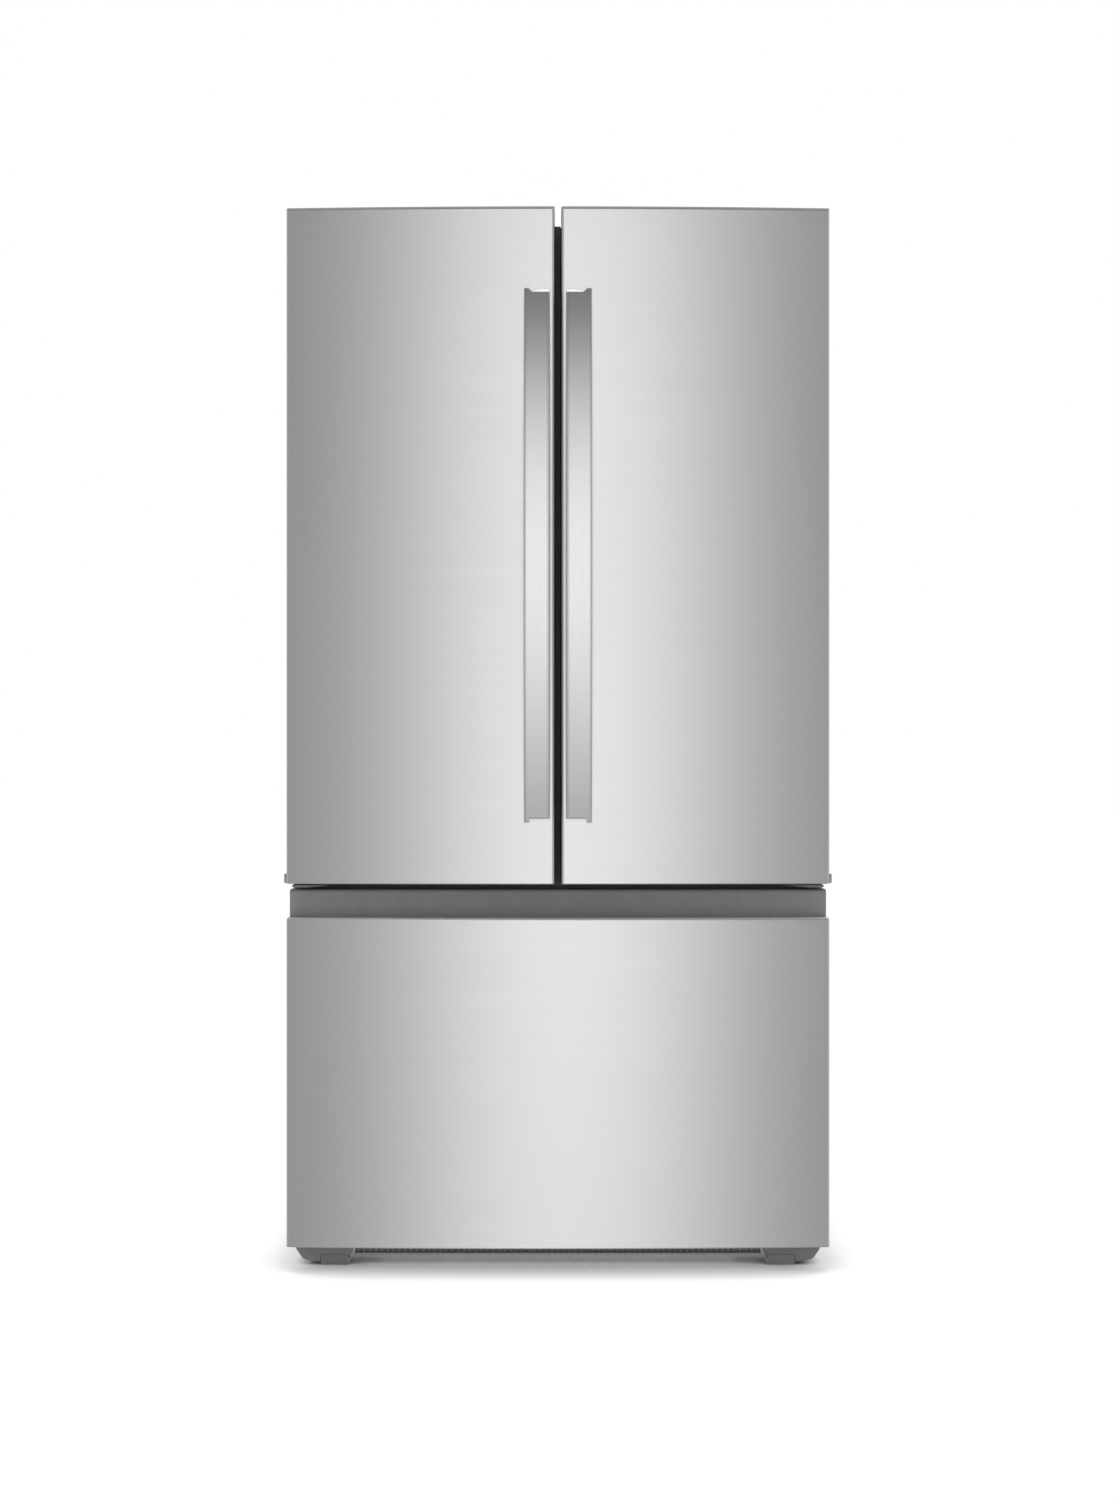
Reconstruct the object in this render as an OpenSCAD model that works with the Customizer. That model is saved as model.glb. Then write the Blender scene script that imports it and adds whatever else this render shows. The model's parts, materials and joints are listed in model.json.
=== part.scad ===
// French door refrigerator with a bottom freezer drawer.
// Millimetres. Front faces -Y, +Z up, floor at z = 0, centred on x = 0 and y = 0.

/* [Overall] */
// Half of the width over both doors
half_w = 454; // [440:0.5:460]
// Height of the cabinet top
cab_top = 1743; // [1700:1:1780]
// Height of the door top
door_top = 1781; // [1750:1:1800]
// Radius of the bow that both doors and the drawer share
front_r = 6000; // [4000:100:12000]
// y of the front of the bow on the centre line
front_y = -395.5; // [-410:0.5:-380]

/* [Doors] */
// Half of the gap between the two doors
door_gap = 5.5; // [4:0.5:10]
// Height of the door bottom
door_bot = 652; // [600:1:700]
// Sheet thickness of the door and drawer skins
sheet = 1.2; // [0.8:0.1:2]
// Radius of the skin's front corners
skin_r = 4; // [2:0.5:8]
// Distance of the hinge pin from the centre line
pivot_x = 430; // [420:1:440]
// y of the hinge pin
pivot_y = -335; // [-350:1:-320]
// Radius of the hinge pins
pin_r = 5; // [4:0.5:7]
// Radial running clearance of pins in bores
fit = 0.05; // [0.02:0.01:0.1]

/* [Drawer] */
// Bottom of the freezer drawer front
drawer_bot = 44; // [40:1:60]
// Top of the drawer's sheet metal front
drawer_top = 596; // [560:1:620]
// Top of the drawer's pull cap
cap_top = 643; // [620:1:648]

/* [Handles] */
// Inner edge of a handle from the centre line
handle_in = 14.3; // [12:0.1:30]
// Width of a handle
handle_w = 40.8; // [30:0.1:50]
// Lower end of a handle
handle_z0 = 755; // [700:1:850]
// Upper end of a handle
handle_z1 = 1642.5; // [1550:0.5:1700]
// How far a handle stands out at its middle
handle_out = 57; // [45:1:60]
// How far a handle stands out at its ends
handle_end = 16; // [14:1:25]
// Thickness of a handle
handle_t = 14; // [10:1:18]

/* [Cabinet] */
// y of the cabinet's front face
cab_front = -293.5; // [-300:0.5:-280]
// y of the rear panel's inside
cab_back = 450; // [440:1:451]
// Half of the width of both compartments
cav_w = 400; // [380:1:410]
// Floor of the fresh food compartment
ff_z0 = 680; // [670:1:700]
// Ceiling of the fresh food compartment
ff_z1 = 1690; // [1660:1:1700]
// Floor of the freezer
fz_z0 = 100; // [90:1:120]
// Ceiling of the freezer
fz_z1 = 610; // [590:1:620]
// Rear of both compartments
cav_back = 370; // [340:1:390]
// Top of the step over the machine compartment
step_z = 300; // [280:1:330]
// Front of the step over the machine compartment
step_y = 165; // [150:1:200]

/* [Hidden] */
bow_yc = front_y + front_r;
cab_w = 450;
back_y = -308;
gask_y = -294;
hd_zc = (handle_z0 + handle_z1) / 2;
hd_h = (handle_z1 - handle_z0) / 2;
hd_sag = handle_out - handle_end;
hd_r = (hd_h * hd_h + hd_sag * hd_sag) / (2 * hd_sag);
hd_yc = front_y - handle_out + hd_r;
$fn = 48;

function bow(x, t) = bow_yc - sqrt((front_r - t) * (front_r - t) - x * x);
function plan(xa, xb, yb, t, r, n) = concat(
    [[xa + t, yb]],
    [for (k = [0:4]) [xa + t + r + r * cos(180 + 22.5 * k), bow(xa + t + r, t) + r + r * sin(180 + 22.5 * k)]],
    [for (i = [1:n - 1]) let (x = xa + t + r + (xb - xa - 2 * t - 2 * r) * i / n) [x, bow(x, t)]],
    [for (k = [0:4]) [xb - t - r + r * cos(270 + 22.5 * k), bow(xb - t - r, t) + r + r * sin(270 + 22.5 * k)]],
    [[xb - t, yb]]);
function strip(xa, xb, t0, t1, n) = concat(
    [for (i = [0:n]) let (x = xa + (xb - xa) * i / n) [x, bow(x, t0)]],
    [for (i = [0:n]) let (x = xb - (xb - xa) * i / n) [x, bow(x, t1)]]);

module bx(x0, x1, y0, y1, z0, z1) translate([x0, y0, z0]) cube([x1 - x0, y1 - y0, z1 - z0]);
module slab(z0, z1) translate([0, 0, z0]) linear_extrude(z1 - z0) children();
module cz(x, y, z0, z1, r) translate([x, y, z0]) cylinder(r = r, h = z1 - z0);
module cy(x, z, y0, y1, r) translate([x, y0, z]) rotate([-90, 0, 0]) cylinder(r = r, h = y1 - y0);
module cx(y, z, x0, x1, r) translate([x0, y, z]) rotate([0, 90, 0]) cylinder(r = r, h = x1 - x0);
module flip(on) { if (on) mirror([1, 0, 0]) children(); else children(); }
module both() { children(); mirror([1, 0, 0]) children(); }
module ring(x0, x1, z0, z1, w, y0, y1) difference() {
    bx(x0, x1, y0, y1, z0, z1);
    bx(x0 + w, x1 - w, y0 - 1, y1 + 1, z0 + w, z1 - w);
}
module tray(x0, x1, y0, y1, z0, z1, t) difference() {
    bx(x0, x1, y0, y1, z0, z1);
    bx(x0 + t, x1 - t, y0 + t, y1 - t, z0 + t, z1 + 1);
}

// Sub-part to show

// ---- cabinet ----

// Folded sheet sides and top with the front flange around both compartments.
module cabinet_wrapper() color([0.30, 0.30, 0.31]) difference() {
    bx(-cab_w, cab_w, cab_front, cab_back, 42, cab_top);
    bx(-cab_w + 1.2, cab_w - 1.2, cab_front + 1.2, cab_back + 1, 41, cab_top - 1.2);
    bx(-cav_w, cav_w, cab_front - 1, cab_front + 2, ff_z0, ff_z1);
    bx(-cav_w, cav_w, cab_front - 1, cab_front + 2, fz_z0, fz_z1);
}

// Foam between the wrapper and both liners, with the machine compartment cut out low at the rear.
module cabinet_insulation() color([0.93, 0.88, 0.70]) difference() {
    bx(-cab_w + 1.2, cab_w - 1.2, cab_front + 1.2, cab_back, 45, cab_top - 1.2);
    bx(-cav_w - 2.5, cav_w + 2.5, cab_front, cav_back + 2.5, ff_z0 - 2.5, ff_z1 + 2.5);
    bx(-cav_w - 2.5, cav_w + 2.5, cab_front, cav_back + 2.5, step_z - 2.5, fz_z1 + 2.5);
    bx(-cav_w - 2.5, cav_w + 2.5, cab_front, step_y + 2.5, fz_z0 - 2.5, fz_z1 + 2.5);
    bx(-cab_w, cab_w, 215, cab_back + 1, 40, 250);
}

// Fresh food compartment liner with the mullion guide on its ceiling.
module fresh_food_liner() color([0.95, 0.95, 0.96]) {
    difference() {
        bx(-cav_w - 2.5, cav_w + 2.5, cab_front + 1.2, cav_back + 2.5, ff_z0 - 2.5, ff_z1 + 2.5);
        bx(-cav_w, cav_w, cab_front, cav_back, ff_z0, ff_z1);
    }
    bx(-10, 14, cab_front + 1.2, -262, 1681, ff_z1 + 1);
}

// Freezer liner, stepped at the rear, with the evaporator fan's motor boss and shaft.
module freezer_liner() color([0.95, 0.95, 0.96]) {
    difference() {
        union() {
            bx(-cav_w - 2.5, cav_w + 2.5, cab_front + 1.2, cav_back + 2.5, step_z - 2.5, fz_z1 + 2.5);
            bx(-cav_w - 2.5, cav_w + 2.5, cab_front + 1.2, step_y + 2.5, fz_z0 - 2.5, fz_z1 + 2.5);
        }
        bx(-cav_w, cav_w, cab_front, cav_back, step_z, fz_z1);
        bx(-cav_w, cav_w, cab_front, step_y, fz_z0, fz_z1);
    }
    cy(0, 553, 345, cav_back + 1, 14);
    cy(0, 553, 322, 346, 2.5);
}

// Rear sheet above the machine compartment.
module rear_panel() color([0.55, 0.56, 0.57]) bx(-cab_w, cab_w, cab_back, cab_back + 1.2, 250, cab_top);

// Bottom sheet with the rear roller forks.
module base_pan() color([0.45, 0.46, 0.47]) {
    bx(-cab_w + 1.2, cab_w - 1.2, -290, cab_back, 42, 45);
    both() for (x = [-402, -375]) difference() {
        bx(x, x + 3, 391, 419, 10, 43);
        cx(405, 20, x - 1, x + 4, 4);
    }
    both() cx(405, 20, -402, -372, 4);
}

// Condenser fan shroud with its bridge and shaft.
module condenser_shroud() color([0.20, 0.20, 0.21]) {
    difference() {
        bx(-46, -43, 225, 445, 45, 240);
        cx(335, 150, -50, -40, 76);
    }
    bx(-46, -43, 225, 445, 142, 158);
    cx(335, 150, -78, -44, 3);
}

// Vented cover over the machine compartment.
module machine_cover() color([0.40, 0.41, 0.42]) difference() {
    bx(-cab_w, cab_w, cab_back, cab_back + 2.5, 42, 250);
    for (i = [0:6]) for (s = [-1, 1]) bx(s * 215 - 125, s * 215 + 125, cab_back - 1, cab_back + 4, 80 + 18 * i, 87 + 18 * i);
    cy(390, 70, cab_back - 1, cab_back + 4, 12);
}

// Hermetic compressor on its base plate.
module compressor() color([0.10, 0.10, 0.11]) {
    bx(-325, -135, 240, 430, 45, 48);
    cz(-230, 335, 60, 180, 85);
    cz(-230, 335, 180, 205, 74);
    cz(-230, 335, 205, 220, 50);
    for (x = [-305, -155]) for (y = [260, 410]) cz(x, y, 47, 66, 9);
    bx(-310, -150, 255, 415, 60, 66);
}

// Tube and fin condenser.
module condenser_coil() color([0.16, 0.16, 0.17]) {
    for (x = [20, 100, 180, 260, 338]) bx(x, x + 2, 245, 425, 45, 225);
    for (y = [270, 335, 400]) for (z = [75, 115, 155, 195]) translate([16, y, z]) rotate([0, 90, 0]) cylinder(r = 5, h = 328, $fn = 8);
}

// Condenser fan: hub and five pitched blades.
module condenser_fan() color([0.15, 0.15, 0.16]) difference() {
    union() {
        cx(335, 150, -76, -52, 16);
        for (a = [0:72:288]) translate([-64, 335, 150]) rotate([a, 0, 0]) rotate([0, 0, 0])
            translate([0, 0, 14]) rotate([0, 0, 28]) translate([-1.2, -14, 0]) cube([2.4, 28, 54]);
    }
    cx(335, 150, -80, -48, 3 + fit);
}

// Tube and fin evaporator behind its cover.
module evaporator_coil() color([0.75, 0.76, 0.77]) {
    for (x = [-330, -165, 0, 165, 328]) bx(x, x + 2, 312, 362, step_z, 470);
    for (y = [325, 349]) for (z = [330, 370, 410, 450]) translate([-340, y, z]) rotate([0, 90, 0]) cylinder(r = 4, h = 680, $fn = 8);
}

// Cover between the freezer and the evaporator, with the fan's round opening.
module evaporator_cover() color([0.93, 0.93, 0.94]) difference() {
    bx(-cav_w, cav_w, 300, 303, step_z, fz_z1);
    cy(0, 553, 298, 305, 46);
    for (s = [-1, 1]) for (i = [0:2]) bx(s * 250 - 90, s * 250 + 90, 298, 305, 536 + 18 * i, 543 + 18 * i);
    for (i = [0:1]) bx(-300, 300, 298, 305, 312 + 16 * i, 319 + 16 * i);
}

// Evaporator fan: hub and five pitched blades.
module evaporator_fan() color([0.85, 0.86, 0.87]) difference() {
    union() {
        cy(0, 553, 324, 341, 12);
        for (a = [0:72:288]) translate([0, 332.5, 553]) rotate([0, a, 0])
            translate([0, 0, 10]) rotate([0, 0, 62]) translate([-1, -9, 0]) cube([2, 18, 32]);
    }
    cy(0, 553, 320, 344.7, 2.5 + fit);
}

// Central air duct and the shelf tracks on the rear wall.
module air_duct_panel() color([0.93, 0.93, 0.94]) {
    difference() {
        bx(-105, 105, 350, cav_back, 980, 1680);
        for (z = [1080, 1240, 1400, 1560]) for (s = [-1, 1]) bx(s * 55 - 30, s * 55 + 30, 348, 356, z, z + 14);
    }
    for (s = [-1, 1]) for (x = [125, 330]) difference() {
        bx(s * x - 8, s * x + 8, 356, cav_back, 980, 1670);
        for (i = [0:10]) bx(s * x - 2, s * x + 2, 354, 362, 1020 + 60 * i, 1038 + 60 * i);
    }
}

// Control housing under the ceiling.
module control_housing() color([0.88, 0.89, 0.90]) bx(-145, 145, -165, -20, 1664, ff_z1);

// Light lens below the control housing.
module light_lens() color([0.97, 0.97, 0.95]) bx(-62, 62, -120, -45, 1660, 1664);

// Four half-width shelf frames with their cantilever arms.
module shelf_frame(s, z) {
    difference() {
        bx(s > 0 ? 6 : -394, s > 0 ? 394 : -6, -150, 338, z, z + 12);
        bx(s > 0 ? 16 : -384, s > 0 ? 384 : -16, -138, 328, z + 6, z + 13);
        bx(s > 0 ? 22 : -378, s > 0 ? 378 : -22, -132, 322, z - 1, z + 13);
    }
    for (x = [125, 330]) bx(s * x - 2, s * x + 2, 60, 356, z - 22, z + 1);
}
module shelf_frames() color([0.94, 0.95, 0.96]) {
    shelf_frame(-1, 1410);
    shelf_frame(-1, 1180);
    shelf_frame(1, 1450);
    shelf_frame(1, 1130);
}

// Glass panes of the four shelves.
module shelf_glass() color([0.75, 0.88, 0.90, 0.4]) {
    for (z = [1410, 1180]) bx(-384, -16, -138, 328, z + 6, z + 11);
    for (z = [1450, 1130]) bx(16, 384, -138, 328, z + 6, z + 11);
}

// Crisper housing: top frame with its pane, partition and the shelf over the pantry drawer.
module crisper_housing() color([0.90, 0.92, 0.93]) {
    bx(-398, 398, -92, 340, 941, 953);
    bx(-4, 4, -72, 335, 776, 942);
    bx(-398, 398, -72, 335, 775, 780);
    both() bx(-398, -394.5, -72, 335, 779, 942);
}

// Crisper drawer with a finger lip on its front.
module crisper(s) color([0.85, 0.92, 0.95, 0.5]) {
    tray(s > 0 ? 7 : -391, s > 0 ? 391 : -7, -58, 322, 780.5, 930, 3);
    bx(s > 0 ? 40 : -358, s > 0 ? 358 : -40, -74, -57, 916, 920);
}
module crisper_left() crisper(-1);
module crisper_right() crisper(1);

// Full width pantry drawer below the crispers.
module pantry_drawer() color([0.85, 0.92, 0.95, 0.5]) {
    tray(-392, 392, -58, 322, 680.5, 768, 3);
    bx(-300, 300, -74, -57, 756, 760);
}

// ---- hinges, rails and supports ----

// Top hinge plates with their arms and pins.
module top_hinge() {
    bx(-446, -384, -288.5, -212, cab_top, cab_top + 4);
    bx(-443, -417, -290, -276, cab_top, 1757);
    bx(-443, -417, pivot_y, -276, 1753.5, 1757);
    cz(-pivot_x, pivot_y, 1753.5, 1757, 13);
    cz(-pivot_x, pivot_y, 1732, 1754, pin_r);
    for (y = [-262, -226]) cz(-400, y, cab_top + 3, cab_top + 8, 6);
}
module top_hinges() color([0.50, 0.51, 0.52]) both() top_hinge();

// Moulded covers over the top hinges, joined by a trim rail along the cabinet's front edge.
module hinge_covers() color([0.33, 0.34, 0.35]) {
    both() difference() {
        bx(-449, -379, -291, -206, cab_top, 1772);
        bx(-447, -381, -289, -208, cab_top - 1, 1770);
        bx(-444.5, -415.5, -292, -288, cab_top - 1, 1759);
    }
    difference() {
        bx(-380, 380, -291, -262, cab_top, 1765.5);
        bx(-377, 377, -288.5, -264, cab_top - 1, 1763);
    }
}

// Centre hinges under the doors: flange on the cabinet, plate, boss and pin.
module centre_hinge() {
    bx(-434, -379, -296.5, cab_front, 636, 656);
    bx(-445, -379, -296.5, cab_front, 641, 649);
    slab(645, 649) polygon([[-442, -362], [-418, -362], [-379, -318], [-379, -295], [-442, -295]]);
    cz(-pivot_x, pivot_y, 648, 651.6, 9);
    cz(-pivot_x, pivot_y, 648, 668, pin_r);
}
module centre_hinges() color([0.60, 0.61, 0.62]) both() centre_hinge();

// Outer members of the telescopic freezer slides, on the liner walls.
module freezer_outer_rails() color([0.70, 0.71, 0.72]) both() difference() {
    bx(-cav_w, -388, -285, 170, 330, 370);
    bx(-398.5, -387, -286, 171, 331.5, 368.5);
}

// Middle members of the telescopic freezer slides.
module freezer_middle_rails() color([0.66, 0.67, 0.68]) both() difference() {
    bx(-397.8, -387.4, -284, 166, 332.2, 367.8);
    bx(-396.4, -386, -285, 167, 333.6, 366.4);
}

// Front leg brackets.
module leg_brackets() color([0.30, 0.30, 0.31]) both() difference() {
    translate([0, -214, 0]) rotate([90, 0, 0]) linear_extrude(86)
        polygon([[-442, 42], [-428, 6], [-405.5, 6], [-405.5, 20], [-353.5, 20], [-348, 20], [-342, 42]]);
    cz(-379.5, -272, 10, 43, 8 + fit);
}

// Levelling leg: foot block and stem.
module leg(s) color([0.22, 0.22, 0.23]) {
    bx(s * 379.5 - 23.5, s * 379.5 + 23.5, -297, -247, 0, 17.5);
    cz(s * 379.5, -272, 17, 41, 8);
}
module leg_left() leg(-1);
module leg_right() leg(1);

// Rear rollers.
module roller(s) color([0.12, 0.12, 0.13]) difference() {
    cx(405, 20, s * 387 - 10, s * 387 + 10, 20);
    cx(405, 20, s * 387 - 11, s * 387 + 11, 4 + fit);
}
module rear_roller_left() roller(-1);
module rear_roller_right() roller(1);

// Toe grille below the drawer.
module toe_grille() color([0.12, 0.12, 0.13]) bx(-332, 332, -290, -282, 18, 42);

// Strain relief gland where the supply cord leaves the machine compartment.
module cord_gland() color([0.08, 0.08, 0.09]) difference() {
    cy(390, 70, 440, cab_back + 2.5, 12);
    cy(390, 70, 439, cab_back + 3.5, 4.2);
}

// ---- doors, written for the left side and mirrored for the right ----

module hinge_notch() bx(-460, -405, -370, back_y + 12, 1752, door_top + 5);

// Formed sheet front and sides.
module door_skin(r) color([0.74, 0.75, 0.76]) flip(r) difference() {
    slab(door_bot + 3, door_top - 3) difference() {
        polygon(plan(-half_w, -door_gap, back_y, 0, skin_r, 20));
        polygon(plan(-half_w, -door_gap, back_y + 5, sheet, skin_r - sheet, 20));
    }
    hinge_notch();
}
module left_door_skin() door_skin(false);
module right_door_skin() door_skin(true);

// Foam core between the end caps.
module door_core(r) color([0.93, 0.88, 0.70]) flip(r)
    slab(door_bot + 22, 1731) polygon(plan(-half_w, -door_gap, back_y - 3, sheet, skin_r - sheet, 20));
module left_door_core() door_core(false);
module right_door_core() door_core(true);

// Inner panel with its raised dike; the left one carries the mullion's two brackets.
module door_liner(r) color([0.95, 0.95, 0.96]) {
    flip(r) {
        bx(-half_w + 1.5, -door_gap - 1.5, back_y - 3, back_y, door_bot + 3, 1752);
        ring(-394, -48, 690, 1680, 16, back_y - 1, -262);
    }
    if (!r) {
        for (z = [1674, 687.5]) bx(-52, -22, -289, -270, z, z + 4);
        cz(-30, -279.5, 1662, 1675, 3);
        cz(-30, -279.5, 691, 704, 3);
    }
}
module left_door_liner() door_liner(false);
module right_door_liner() door_liner(true);

// Magnetic gasket around the dike.
module door_gasket(r) color([0.55, 0.56, 0.57]) flip(r) ring(-424, -12, 658, 1726, 14, back_y, gask_y);
module left_door_gasket() door_gasket(false);
module right_door_gasket() door_gasket(true);

// Top and bottom end caps with the pin bushings and the stop tab at the lower outer corner.
module door_caps(r) color([0.42, 0.42, 0.43]) flip(r) {
    difference() {
        union() {
            slab(1731, door_top - 3) polygon(plan(-half_w, -door_gap, back_y - 3, sheet, skin_r - sheet, 20));
            slab(door_top - 3, door_top) polygon(plan(-half_w, -door_gap, back_y, 0.2, skin_r, 20));
        }
        hinge_notch();
        cz(-pivot_x, pivot_y, 1725, 1760, pin_r + fit);
    }
    difference() {
        union() {
            slab(door_bot + 3, door_bot + 22) polygon(plan(-half_w, -door_gap, back_y - 3, sheet, skin_r - sheet, 20));
            slab(door_bot, door_bot + 3) polygon(plan(-half_w, -door_gap, back_y, 0.2, skin_r, 20));
            bx(-460, -452.5, -356, -330, door_bot, door_bot + 3);
            bx(-460, -454.7, -356, -330, door_bot, door_bot + 15);
        }
        cz(-pivot_x, pivot_y, door_bot - 1, door_bot + 30, pin_r + fit);
    }
}
module left_door_caps() door_caps(false);
module right_door_caps() door_caps(true);

// Bowed strap handle with a foot at each end.
module handle(r) color([0.76, 0.77, 0.78]) flip(r)
    translate([-handle_in - handle_w, 0, 0]) rotate([90, 0, 90]) linear_extrude(handle_w) polygon(concat(
        [for (i = [0:24]) let (z = hd_h - 2 * hd_h * i / 24) [hd_yc - sqrt(hd_r * hd_r - z * z), hd_zc + z]],
        [[front_y, handle_z0], [front_y, handle_z0 + 52]],
        [for (i = [0:20]) let (z = -hd_h + 60 + (2 * hd_h - 120) * i / 20) [hd_yc - sqrt((hd_r - handle_t) * (hd_r - handle_t) - z * z), hd_zc + z]],
        [[front_y, handle_z1 - 52], [front_y, handle_z1]]));
module left_handle() handle(false);
module right_handle() handle(true);

// Door bins between the sides of the dike.
module bin(z, h) tray(-377.7, -64.3, back_y, -178, z, z + h, 3);
module left_bins() color([0.85, 0.92, 0.95, 0.5]) { bin(745, 110); bin(1060, 90); bin(1370, 90); }
module right_bins() color([0.85, 0.92, 0.95, 0.5]) mirror([1, 0, 0]) { bin(745, 110); bin(1120, 110); }

// Folding mullion bar on the left door, folded back beside the dike.
module mullion_bar() color([0.42, 0.42, 0.43]) difference() {
    bx(-36, -21, -289, -208, 694, 1672);
    cz(-30, -279.5, 1660, 1673, 3 + fit);
    cz(-30, -279.5, 693, 706, 3 + fit);
}

// Dairy compartment on the right door, open towards the inside.
module dairy_box() color([0.92, 0.95, 0.97, 0.6]) difference() {
    bx(64.3, 377.7, back_y + 0.3, -188, 1540, 1644);
    bx(68.3, 373.7, back_y + 3.3, -187, 1543, 1641);
    bx(64, 378, -206, -187, 1560, 1645);
    bx(68.3, 373.7, -222, -187, 1640, 1645);
    cx(-214, 1632, 60, 380, 3 + fit);
}

// Flip-up lid of the dairy compartment, with its two pivot pins.
module dairy_lid() color([0.85, 0.92, 0.95, 0.5]) {
    bx(69, 373, -201, -198, 1558, 1637);
    for (x = [69, 370]) bx(x, x + 3, -219, -198, 1627, 1637);
    cx(-214, 1632, 64.6, 72, 3);
    cx(-214, 1632, 370, 377.4, 3);
}

// ---- freezer drawer ----

// Formed sheet front with the lip over the pull pocket.
module freezer_drawer_skin() color([0.74, 0.75, 0.76]) {
    slab(drawer_bot, drawer_top) difference() {
        polygon(plan(-half_w, half_w, back_y, 0, skin_r, 36));
        polygon(plan(-half_w, half_w, back_y + 5, sheet, skin_r - sheet, 36));
    }
    slab(drawer_top - 1.2, drawer_top) polygon(strip(-446, 446, 1, 14, 36));
    slab(drawer_bot, drawer_bot + 1.2) polygon(plan(-half_w, half_w, back_y, 0.4, skin_r, 36));
}

// Foam core, lower at the front where the pull pocket is.
module freezer_drawer_core() color([0.93, 0.88, 0.70]) {
    slab(drawer_bot + 1.2, 556) polygon(plan(-half_w, half_w, back_y - 3, sheet, skin_r - sheet, 36));
    bx(-447.5, 447.5, -344, back_y - 3, 555, cap_top - 3);
}

// Inner panel with its dike.
module freezer_drawer_liner() color([0.95, 0.95, 0.96]) {
    bx(-half_w + 3, half_w - 3, back_y - 3, back_y, drawer_bot + 3, 592);
    bx(-447.5, 447.5, back_y - 3, back_y, 591, cap_top - 3);
    ring(-378, 378, 106, 604, 16, back_y - 1, -270);
}

module freezer_drawer_gasket() color([0.55, 0.56, 0.57]) ring(-424, 424, 66, 634, 14, back_y, gask_y);

// Moulded pull cap: pocket floor, front ledge, rear wall, top and ends.
module freezer_pull_cap() color([0.40, 0.40, 0.41]) {
    difference() {
        slab(556, 560) polygon(plan(-half_w, half_w, -344, sheet, skin_r - sheet, 36));
        bx(-460, 460, -348, -300, 550, 570);
    }
    slab(558, drawer_top - 1.2) polygon(strip(-447, 447, sheet + 0.05, 4.2, 36));
    bx(-451.4, 451.4, -348, -344, 556, cap_top);
    bx(-451.4, 451.4, -345, back_y, cap_top - 3, cap_top);
    both() bx(-451.4, -447.7, -346, back_y, drawer_top - 2, cap_top - 2);
    both() bx(-452.5, -447.5, -374, -344, 557, drawer_top - 1.2);
}

// Drawer frame: inner slide members, ledges for both baskets and the rear tie.
module freezer_drawer_frame() color([0.68, 0.69, 0.70]) {
    both() {
        bx(-395.8, -386, back_y, 155, 336, 364);
        bx(-386.2, -383, -260, 155, 322, 402);
        bx(-386, -372, -260, 155, 322, 325);
        bx(-386, -372, -260, 155, 399, 402);
    }
    bx(-384, 384, 151, 155, 346, 360);
}

// Lower basket hung by its rim.
module lower_basket() color([0.92, 0.94, 0.95]) {
    tray(-368, 368, -258, 148, 125, 328, 3);
    both() bx(-382.5, -367, -258, 148, 325, 328);
}

// Upper basket that slides back on the drawer frame.
module upper_basket() color([0.92, 0.94, 0.95]) {
    difference() {
        tray(-381, 381, -245, 100, 402.4, 495, 3);
    }
}

cabinet_wrapper();
cabinet_insulation();
fresh_food_liner();
freezer_liner();
rear_panel();
base_pan();
machine_cover();
compressor();
condenser_coil();
condenser_shroud();
condenser_fan();
evaporator_coil();
evaporator_cover();
evaporator_fan();
air_duct_panel();
control_housing();
light_lens();
shelf_frames();
shelf_glass();
crisper_housing();
crisper_left();
crisper_right();
pantry_drawer();
top_hinges();
hinge_covers();
centre_hinges();
freezer_outer_rails();
freezer_middle_rails();
leg_brackets();
leg_left();
leg_right();
rear_roller_left();
rear_roller_right();
toe_grille();
cord_gland();
left_door_skin();
left_door_core();
left_door_liner();
left_door_gasket();
left_door_caps();
left_handle();
left_bins();
mullion_bar();
right_door_skin();
right_door_core();
right_door_liner();
right_door_gasket();
right_door_caps();
right_handle();
right_bins();
dairy_box();
dairy_lid();
freezer_drawer_skin();
freezer_drawer_core();
freezer_drawer_liner();
freezer_drawer_gasket();
freezer_pull_cap();
freezer_drawer_frame();
lower_basket();
upper_basket();
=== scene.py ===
import json
import math
from math import cos, pi, radians, sin, sqrt

import bmesh
import bpy
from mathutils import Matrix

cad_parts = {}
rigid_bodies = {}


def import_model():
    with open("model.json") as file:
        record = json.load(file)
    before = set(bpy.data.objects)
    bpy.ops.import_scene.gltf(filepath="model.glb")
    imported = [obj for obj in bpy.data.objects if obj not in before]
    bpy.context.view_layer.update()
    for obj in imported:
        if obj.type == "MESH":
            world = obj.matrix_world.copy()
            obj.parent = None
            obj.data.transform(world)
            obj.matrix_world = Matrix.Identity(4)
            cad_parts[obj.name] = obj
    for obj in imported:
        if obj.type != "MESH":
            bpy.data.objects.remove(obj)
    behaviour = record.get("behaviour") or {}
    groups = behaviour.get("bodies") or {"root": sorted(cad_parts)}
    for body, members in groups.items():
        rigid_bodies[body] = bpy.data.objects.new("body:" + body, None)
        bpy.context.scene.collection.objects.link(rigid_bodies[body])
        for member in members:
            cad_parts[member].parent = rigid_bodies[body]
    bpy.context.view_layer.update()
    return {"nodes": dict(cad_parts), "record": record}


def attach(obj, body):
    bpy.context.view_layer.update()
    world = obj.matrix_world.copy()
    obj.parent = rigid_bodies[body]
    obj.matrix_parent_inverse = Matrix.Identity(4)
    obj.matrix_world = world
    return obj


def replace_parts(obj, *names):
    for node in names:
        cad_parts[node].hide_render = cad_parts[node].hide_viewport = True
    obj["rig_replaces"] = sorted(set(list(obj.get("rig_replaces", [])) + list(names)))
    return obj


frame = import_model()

NODES = frame["nodes"]
BODY_OF = {n: b for b, ns in frame["record"]["behaviour"]["bodies"].items() for n in ns}
SLOT_OF = {}
for m_ in frame["record"]["materials"]:
    for n_ in m_.get("nodes", []):
        SLOT_OF[n_] = m_["slot"]

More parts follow.
